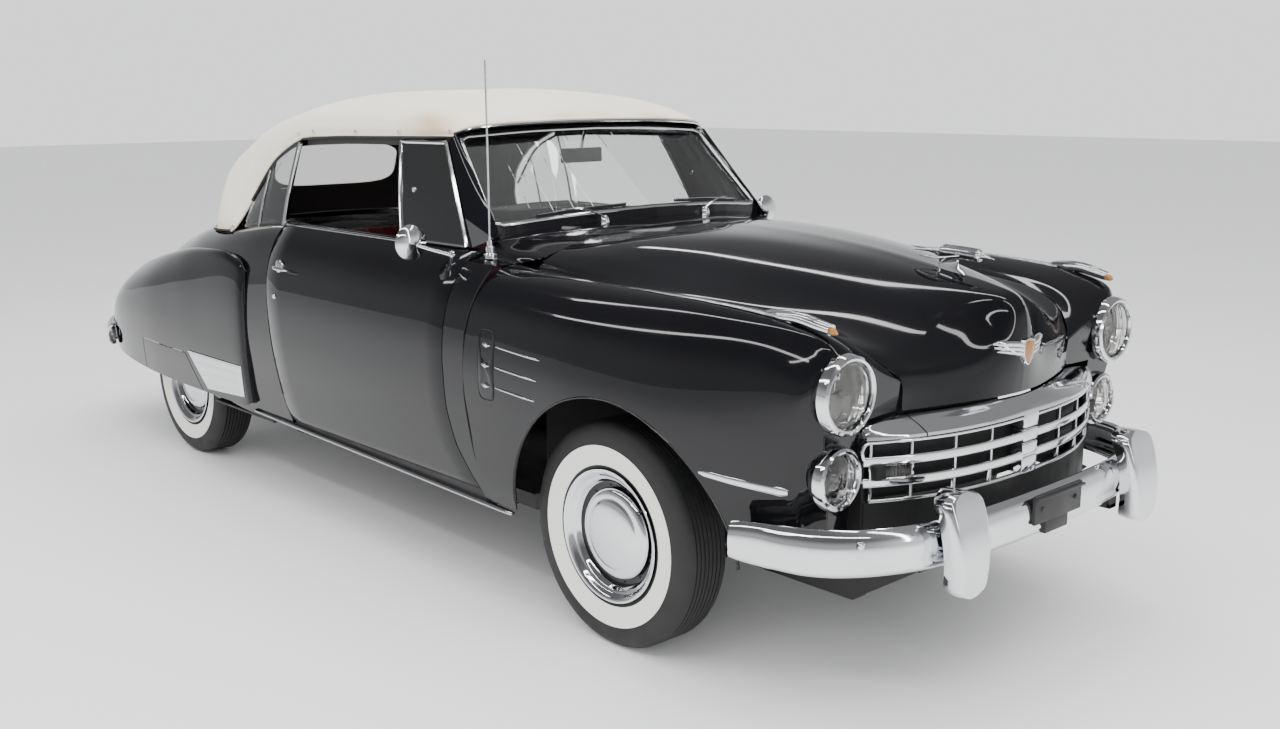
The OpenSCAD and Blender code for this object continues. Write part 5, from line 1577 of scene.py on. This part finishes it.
        loop = []
        for a in np.linspace(0, 2 * pi, 56, endpoint=False):
            c, s = cos(a), sin(a)
            x = 1080 + copysign(abs(c) ** 0.4, c) * 41
            z = 818 + copysign(abs(s) ** 0.28, s) * 112
            loop.append((x - (z - 818) * 0.02, z))
        at = lambda x, z: float(np.interp(x, [985, 1060], [side_y(z), fender_side_y(x, z)]))
        seam = [(x, at(x, z) + 0.2, z) for x, z in loop]
        out.append(dress(tube("vent_flap_seam", seam + [seam[0]], 1.7, n=1, sides=6), PAINTS.shadow))
        rings = [[(1080 + (x - 1080) * k, at(x, z) + d, 818 + (z - 818) * k) for x, z in loop] for k,
            d in ((0.95, -1), (0.94, 1.2), (0.9, 1.8), (0.5, 2.0), (0.02, 2.0))]
        out.append(dress(loft("vent_flap", rings), PAINTS.enamel))
        for z, end in ((883, 1352), (818, 1340), (753, 1331)):
            y = at(1080, z)
            rings = [[(1080 + 24 * k * cos(q), y + d, z + 10 * k * sin(q)) for q in np.linspace(0, 2 * pi, 4,
                endpoint=False)] for k, d in ((1, 0), (1, 2.5), (0.55, 6.5), (0.08, 8.5))]
            out.append(dress(loft("vent_diamond", rings), PAINTS.chrome))
            pts = [(x, at(x, z - (x - 1130) * 0.055) + 1.2, z - (x - 1130) * 0.055) for x in np.linspace(1132,
                end, 8)]
            out.append(dress(tube("vent_strip", pts, 3.6, n=2, sides=10, taper=[0.5, 1, 1, 1, 1, 1, 0.8, 0.3],
                flat=1.0, up=(0, 1, 0)), PAINTS.chrome))
        return out

    def fender_strip(self) -> Mesh:
        """Low strip from the wheel arch towards the fog lamp."""
        pts = []
        for t in np.linspace(0, 1, 16):
            x = 1985 + 262 * t
            z = 652 - 14 * t
            pts.append((x, fender_side_y(x, z) + 1.5, z))
        taper = [0.35] + [0.8 + 0.4 * t for t in np.linspace(0, 1, 14)] + [0.7]
        return dress(tube("fender_side_strip", pts, 11, n=1, sides=12, taper=taper, flat=0.35, up=(0, 1, 0)),
            PAINTS.chrome)

    def stone_guard(self) -> list:
        """Ribbed bright plate ahead of the rear wheel."""
        corners = [(-1133, 551), (-621, 557), (-628, 424), (-987, 399)]
        grid = []
        for u in np.linspace(0, 1, 25):
            row = []
            for v in np.linspace(0, 1, 33):
                top = np.array(corners[0]) * (1 - u) + np.array(corners[1]) * u
                low = np.array(corners[3]) * (1 - u) + np.array(corners[2]) * u
                x, z = top * (1 - v) + low * v
                rib = 1.6 * max(0.0, sin(v * pi * 8)) if 0.04 < v < 0.96 and 0.03 < u < 0.97 else 0
                row.append((x, rear_side_y(x, z) + 1.8 + rib, z))
            grid.append(row)
        plate = sheet_metal("stone_guard", [np.array(grid)[::-1]], thick=3)
        return [dress(plate, PAINTS.chrome)]

    def sill(self) -> Mesh:
        """Bright strip along the sill."""
        pts = [(x, y, z) for x, y, z in ((-600, 852, 366), (-300, 853, 360), (200, 853, 352), (700, 853, 344),
            (1100, 852, 337), (1156, 850, 336))]
        return dress(tube("sill_strip", pts, 9, n=8, sides=12, taper=[1.2, 1.3, 1.3, 1.3, 1.3, 0.8],
            flat=0.7), PAINTS.chrome)

    def glass_frame(self) -> list:
        """Bright frame and seal round the windshield, with wipers."""
        low = curve([(822, 654, 1204), (895, 330, 1228), (925, 0, 1236)], 8)
        high = curve([(523, 590, 1520), (552, 300, 1536), (562, 0, 1542)], 8)
        at = lambda v, u: low[v] + (high[v] - low[v]) * u
        edge = [at(v, 0.045) for v in range(16, 0, -1)] + [at(0, u) + np.array([4, -6, 0])
            for u in np.linspace(0.07, 0.93, 12)] + [at(v, 0.955) for v in range(1, 17)]
        edge = np.array(edge)
        ring = np.concatenate([edge, (edge * ACROSS)[::-1][1:-1]]) + np.array([7, 0, 2])
        loop = np.concatenate([ring, ring[:1]])
        out = [dress(tube("windshield_bright_frame", loop, 8.5, n=1, sides=10, flat=0.7, up=(0.6, 0, 0.8)),
            PAINTS.chrome)]
        inner = loop - np.array([10, 0, 0])
        out.append(dress(tube("windshield_seal", inner, 10, n=1, sides=8, up=(0.6, 0, 0.8)), PAINTS.seal))
        for s in (1, -1):
            base = np.array([928, 250 * s, 1220])
            piv = revolve("wiper_pivot", [(0, 20), (8, 19), (13, 12), (16, 4), (17, -6), (0, -6)],
                tuple(base), "Z", 24)
            out.append(dress(piv, PAINTS.chrome))
            tip = at(9, 0.10) * np.array([1, s, 1]) + np.array([22, 120 * s, 6])
            mid = (base + tip) / 2 + np.array([6, 0, 20])
            out.append(dress(tube("wiper_arm", [base + np.array([0, 0, 14]), mid, tip], 4.2, n=8, sides=10,
                taper=[1.3, 1, 0.6], flat=0.6), PAINTS.chrome))
            a = at(4, 0.085) * np.array([1, s, 1]) + np.array([15, 0, 4])
            b = at(13, 0.10) * np.array([1, s, 1]) + np.array([15, 0, 4])
            out.append(dress(tube("wiper_blade", [a, tuple((a + b) / 2 + np.array([2, 0, 1])), b], 5, n=8,
                sides=8, flat=1.2), PAINTS.seal))
            out.append(dress(tube("wiper_spine", [tuple(a + np.array([5, 0, 3])),
                tuple((a + b) / 2 + np.array([11, 0, 8])), tuple(b + np.array([5, 0, 3]))], 2.4, n=8,
                sides=8), PAINTS.chrome))
        return out

    def interior_mirror(self) -> list:
        """Mirror on the header."""
        head = box_piece("cabin_mirror", (500, -100, 1395), (514, 100, 1450), 6, 3)
        stem = tube("cabin_mirror_stem", [(507, 0, 1440), (515, 0, 1480), (528, 0, 1515)], 6, n=5)
        return [dress(head, PAINTS.shadow), dress(stem, PAINTS.chrome)]

    def antenna_base(self) -> Mesh:
        """Stepped ferrule under the whip."""
        base = revolve("antenna_ferrule", [(0, 62), (4.5, 60), (5, 48), (9, 46), (10, 30), (14.5, 27),
            (16, 8), (22, 2), (23, -10), (0, -10)], (880, -712, 1134), "Z", 28)
        return dress(base, PAINTS.chrome)

    def build(self) -> None:
        """Builds the trim."""
        fit(join("fender_ornaments", both(self.spear())))
        fit(self.hood_ornament(), Body.HOOD)
        fit(self.emblem(), Body.HOOD)
        for name, pieces in (("cowl_side_trim", self.side()), ("fender_side_strips", [self.fender_strip()]),
                ("stone_guards", self.stone_guard()), ("sill_strips", [self.sill()])):
            fit(join(name, both(pieces)))
        fit(join("windshield_trim", self.glass_frame()))
        fit(join("cabin_mirror_assembly", self.interior_mirror()))
        fit(self.antenna_base())


def places(obj: Mesh) -> np.ndarray:
    """The places of obj's points, in metres."""
    return np.array([v.co[:] for v in obj.data.vertices])


def set_places(obj: Mesh, co: np.ndarray) -> None:
    """Moves obj's points to co."""
    obj.data.vertices.foreach_set("co", co.ravel())
    obj.data.update()


def rear_side_y(x: float, z: float) -> float:
    """Half width of the rear fender's side at x and z."""
    return width_at(RearBody.fender_rows, 880, x, z)


# ---- cabin


LARGEST_SWELL, SEAT_FILL = 26, 0.8
CLOTH_FRAMES, VOXEL = 20, 0.013


class Cabin:
    """Padded seats and dash fittings."""

    def cushion(self, name: str, outline: list, half: float, pleats: int) -> Mesh:
        """A sprung cushion: an outline (x, z) carried across, swelled as cloth, then stitched into pleats."""
        loop = curve([(x, z) for x, z in outline + [outline[0]]], 5)[:-1]
        mid = loop.mean(axis=0)
        rings = []
        for t in np.linspace(-1, 1, 25):
            k = 1 - 0.10 * max(0.0, abs(t) - 0.86) / 0.14
            rings.append([(mid[0] + (p[0] - mid[0]) * k * 0.94, half * 0.985 * t, mid[1] + (p[1] - mid[1]) * k
                * 0.94) for p in loop])
        obj = loft(name, rings)
        modify(obj, "REMESH", mode="VOXEL", voxel_size=VOXEL)
        start = places(obj)
        cloth = obj.modifiers.new("swell", "CLOTH")
        cloth.settings.use_pressure = True
        cloth.settings.uniform_pressure_force = 4
        cloth.settings.quality = 4
        cloth.settings.effector_weights.gravity = 0
        cloth.point_cache.frame_start, cloth.point_cache.frame_end = 1, CLOTH_FRAMES
        for f in range(1, CLOTH_FRAMES + 1):
            bpy.context.scene.frame_set(f)
        apply_modifiers(obj)
        bpy.context.scene.frame_set(1)
        move = places(obj) - start
        size = np.linalg.norm(move, axis=1, keepdims=True)
        move *= np.minimum(1, LARGEST_SWELL * MM / np.maximum(size, 1e-9))
        set_places(obj, start + move)
        modify(obj, "SUBSURF", levels=1)
        normals = np.array([v.normal[:] for v in obj.data.vertices])
        co = places(obj)
        wide = half * MM
        wave = np.abs(np.sin(co[:, 1] / wide * pi * pleats / 2))
        depth = -0.006 * (1 - wave) ** 3 * np.clip((wide * 0.95 - np.abs(co[:, 1])) / 0.03, 0,
            1) * np.clip(np.abs(normals[:, 0]) + np.maximum(normals[:, 2], 0), 0, 1)
        co += normals * depth[:, None]
        set_places(obj, co)
        return dress(smooth(obj, 60), PAINTS.seat)

    def build(self) -> None:
        """Builds the seats and the fittings round the dash."""
        base = []
        for low, high in (((-180, -600, 352), (240, -140, 476)), ((-180, 140, 352), (240, 600, 476))):
            base.append(dress(box_piece("seat_riser", low, high, 4), PAINTS.steel))
        base.append(dress(box_piece("seat_shell", (-446, -622, 566), (-424, 622, 1010), 8), PAINTS.seat))
        fit(join("front_seat_risers", base))
        front = [self.cushion("front_seat_cushion", [(-230, 470), (-215, 640), (20, 665), (260, 660),
            (300, 600), (280, 480), (20, 462)], 640, 18),
            self.cushion("front_seat_back", [(-330, 560), (-390, 780), (-440, 1000), (-420, 1075),
                (-350, 1060), (-290, 860), (-240, 660), (-236, 560)], 630, 18)]
        back = [self.cushion("rear_seat_cushion", [(-960, 500), (-950, 640), (-740, 662), (-560, 660),
            (-530, 600), (-545, 480), (-740, 478)], 520, 14),
                self.cushion("rear_seat_back", [(-1040, 560), (-1100, 780), (-1160, 1000), (-1130, 1065),
                    (-1060, 1050), (-1010, 860), (-965, 680), (-968, 560)], 520, 14)]
        for obj, nodes in zip(front + back, (["front_seat"], [], ["rear_seat"], [])):
            fit(obj, Body.ROOT, nodes)
        rear_base = [dress(box_piece("rear_riser", (-940, s * 315 - 185, 352), (-570, s * 315 + 185, 494), 4),
            PAINTS.carpet) for s in (1, -1)]
        fit(join("rear_seat_risers", rear_base))
        dials = []
        for y in (300, 420):
            face = revolve("dial_face", [(0, 3), (44, 3), (46, 0), (0, 0)], (778, y, 1100), "X", 40, flip=-1)
            rim = revolve("dial_rim", [(44, 2), (46, 7), (51, 7), (54, 0), (44, -1)], (778, y, 1100), "X", 40,
                flip=-1)
            hand = box_piece("dial_hand", (772, y - 1.2, 1098), (774, y + 1.2, 1132), 0.5)
            dials += [dress(face, PAINTS.plastic), dress(rim, PAINTS.chrome), dress(hand, PAINTS.red)]
        radio = [dress(box_piece("radio_frame", (768, -110, 1060), (780, 110, 1136), 5), PAINTS.chrome)]
        for k in range(14):
            radio.append(dress(box_piece("radio_bar", (762, -96 + k * 14.2, 1070), (770, -90 + k * 14.2,
                1126), 1.2), PAINTS.shadow))
        box = box_piece("glove_box_door", (768, -470, 1050), (778, -200, 1140), 5)
        knob = revolve("glove_box_knob", [(0, 20), (7, 18), (9, 10), (5, 4), (5, 0), (0, 0)],
            (768, -335, 1080), "X", 20, flip=-1)
        fit(join("dash_fittings", dials + radio + [dress(box, PAINTS.enamel), dress(knob, PAINTS.chrome)]))


# ---- finishes for the rest


def shade_nodes() -> None:
    """Gives every CAD piece its finish."""
    corners = [f"{end}_{side.word}" for end in ("front", "rear") for side in Side]
    groups = (
        (PAINTS.steel, "frame floor_pan plate_bracket top_bows driveshaft rear_axle rear_springs fuel_tank"
            " front_suspension wheel_houses knuckle_left knuckle_right"),
        (PAINTS.shadow, "nose_panel radiator"),
        (PAINTS.glass, "windshield quarter_windows"),
        (PAINTS.enamel, "windshield_frame dashboard steering_column cowl front_fenders rear_fenders"
        " fender_skirts rear_body door_left door_right hood trunk_lid"),
        (PAINTS.chrome, "antenna grille front_bumper rear_bumper headlamps fog_lamps"),
        (PAINTS.chrome, "mirror_left mirror_right"),
        (PAINTS.grip, "steering_wheel"), (PAINTS.casting, "engine"), (PAINTS.heat, "exhaust"),
        (PAINTS.red, "tail_lamps"), (PAINTS.canvas, "soft_top"), (PAINTS.vinyl, "rear_window"),
        (PAINTS.seat, "front_seat rear_seat"), (PAINTS.tinted, "vent_window_left vent_window_right"),
        (PAINTS.enamel, " ".join(f"wheel_{c}" for c in corners)),
        (PAINTS.rubber, " ".join(f"tyre_{c}" for c in corners)))
    for material, names in groups:
        for name in names.split():
            dress(bpy.data.objects[name], material)


def quarter_frames() -> None:
    """Bright uprights and edges of the quarter windows, and header trim behind the vents."""
    g = surface_grid([[(-452, 752, 1140), (-448, 718, 1290), (-446, 665, 1466)], [(-640, 750, 1116),
        (-640, 716, 1260), (-640, 676, 1385)], [(-850, 742, 1082), (-835, 722, 1155), (-820, 702, 1215)]], 8,
        8)
    post = tube("quarter_upright", [p + np.array([-4, 1, 0]) for p in g[0]], 9, n=1, sides=8, flat=1.3)
    rear = tube("quarter_rear_bar", [p + np.array([2, 1, 0]) for p in g[10]], 5, n=1, sides=8, flat=1.3)
    top = tube("quarter_top_seal", [p + np.array([0, 2, 3]) for p in g[:, -1]], 6, n=1, sides=8)
    dress(post, PAINTS.chrome)
    dress(rear, PAINTS.chrome)
    dress(top, PAINTS.seal)
    fit(join("quarter_window_frames", both([post, rear, top])))


def plain_floor() -> Mesh:
    """A pale floor with a faint soft mottle."""
    deselect()
    bpy.ops.mesh.primitive_plane_add(size=80, location=(0, 0, 0))
    floor = bake_place(bpy.context.object)
    floor.name = "studio_floor"
    mat = Finish("pale_floor", (0.86, 0.86, 0.855), (0.82, 0.82, 0.815), rough=(0.32, 0.5), scale=0.4,
        spread=0.5, bump=0.02, specular=0.4).material()
    dress(floor, mat)
    return floor


def area_light(name: str, at: tuple, look: tuple, size: tuple, power: float, gloss: bool = True) -> None:
    """One soft rectangular lamp, shown in bright surfaces or not."""
    data = bpy.data.lights.new(name, "AREA")
    data.shape = "RECTANGLE"
    data.size, data.size_y = size
    data.energy = power
    obj = linked(name, data)
    obj.location = at
    obj.visible_glossy = gloss
    obj.rotation_euler = (Vector(look) - Vector(at)).to_track_quat("-Z", "Y").to_euler()


def sky() -> None:
    """Even light for the scene, and a darker gradient for what the bright surfaces reflect."""
    world = bpy.context.scene.world or bpy.data.worlds.new("studio")
    bpy.context.scene.world = world
    world.use_nodes = True
    tree = world.node_tree
    parts = add_node(tree, "SeparateXYZ", {"Vector": add_node(tree, "TexCoord", {})["Generated"]})
    levels = []
    for axis, ends in (("Z", (0.08, 0.45, 1.0, 0.3)), ("Y", (-0.35, 0.25, 0.5, 1.0))):
        inputs = dict(zip(("From Min", "From Max", "To Min", "To Max"), ends))
        inputs["Value"] = parts[axis]
        levels.append(add_node(tree, "MapRange", inputs, interpolation_type="SMOOTHSTEP")["Result"])
    level = add_node(tree, "Math", {0: levels[0], 1: levels[1]}, operation="MULTIPLY")[0]
    ray = add_node(tree, "LightPath", {})["Is Glossy Ray"]
    pick = add_node(tree, "Mix", {"Factor": ray, "A": EVEN_LIGHT, "B": level})
    feed(tree, tree.nodes["Background"], {"Color": (0.95, 0.96, 0.98, 1), "Strength": pick["Result"]})


EYE = (4.401, -3.275, 1.666)
VIEW_HEADING, VIEW_DOWN, VIEW_ROLL = radians(47.43), radians(11.80), radians(-0.23)


def camera() -> None:
    """The main view, from the front right at the height of the roof."""
    data = bpy.data.cameras.new("main_camera")
    data.lens = 36.9
    data.sensor_width = 36
    data.clip_end = 200
    cam = linked("main_camera", data)
    turn = Matrix.Rotation(VIEW_HEADING, 4, "Z") @ Matrix.Rotation(pi / 2 - VIEW_DOWN, 4, "X")
    cam.matrix_world = Matrix.Translation(EYE) @ turn @ Matrix.Rotation(VIEW_ROLL, 4, "Z")
    bpy.context.scene.camera = cam


def studio() -> None:
    """World, lamps and camera."""
    sky()
    area_light("overhead", (0.3, -0.2, 6.5), (0.3, 0, 0), (9.0, 9.0), 420, gloss=False)
    area_light("front_fill", (6.5, -5.5, 3.0), (0.8, 0, 0.6), (4.0, 3.0), 160, gloss=False)
    for k, (x, y, z) in enumerate(((0.2, -3.6, 3.4), (0.6, -1.2, 4.2), (0.6, 1.4, 4.2), (3.6, -3.0, 3.6))):
        area_light(f"strip_{k}", (x, y, z), (x * 0.5, y * 0.2, 0.7), (6.0, 0.16), 46)
    area_light("strip_cross", (5.4, 0.0, 2.9), (1.8, 0, 0.7), (0.16, 4.5), 30)
    camera()


def main() -> None:
    """Builds the whole car."""
    shade_nodes()
    for part in (FrontEnd, RearBody, Doors, FoldingTop, Grille, Bumpers, Lamps, RoadWheels, Trim, Cabin):
        part().build()
    quarter_frames()
    plain_floor()
    studio()


if __name__ == "__main__":
    main()
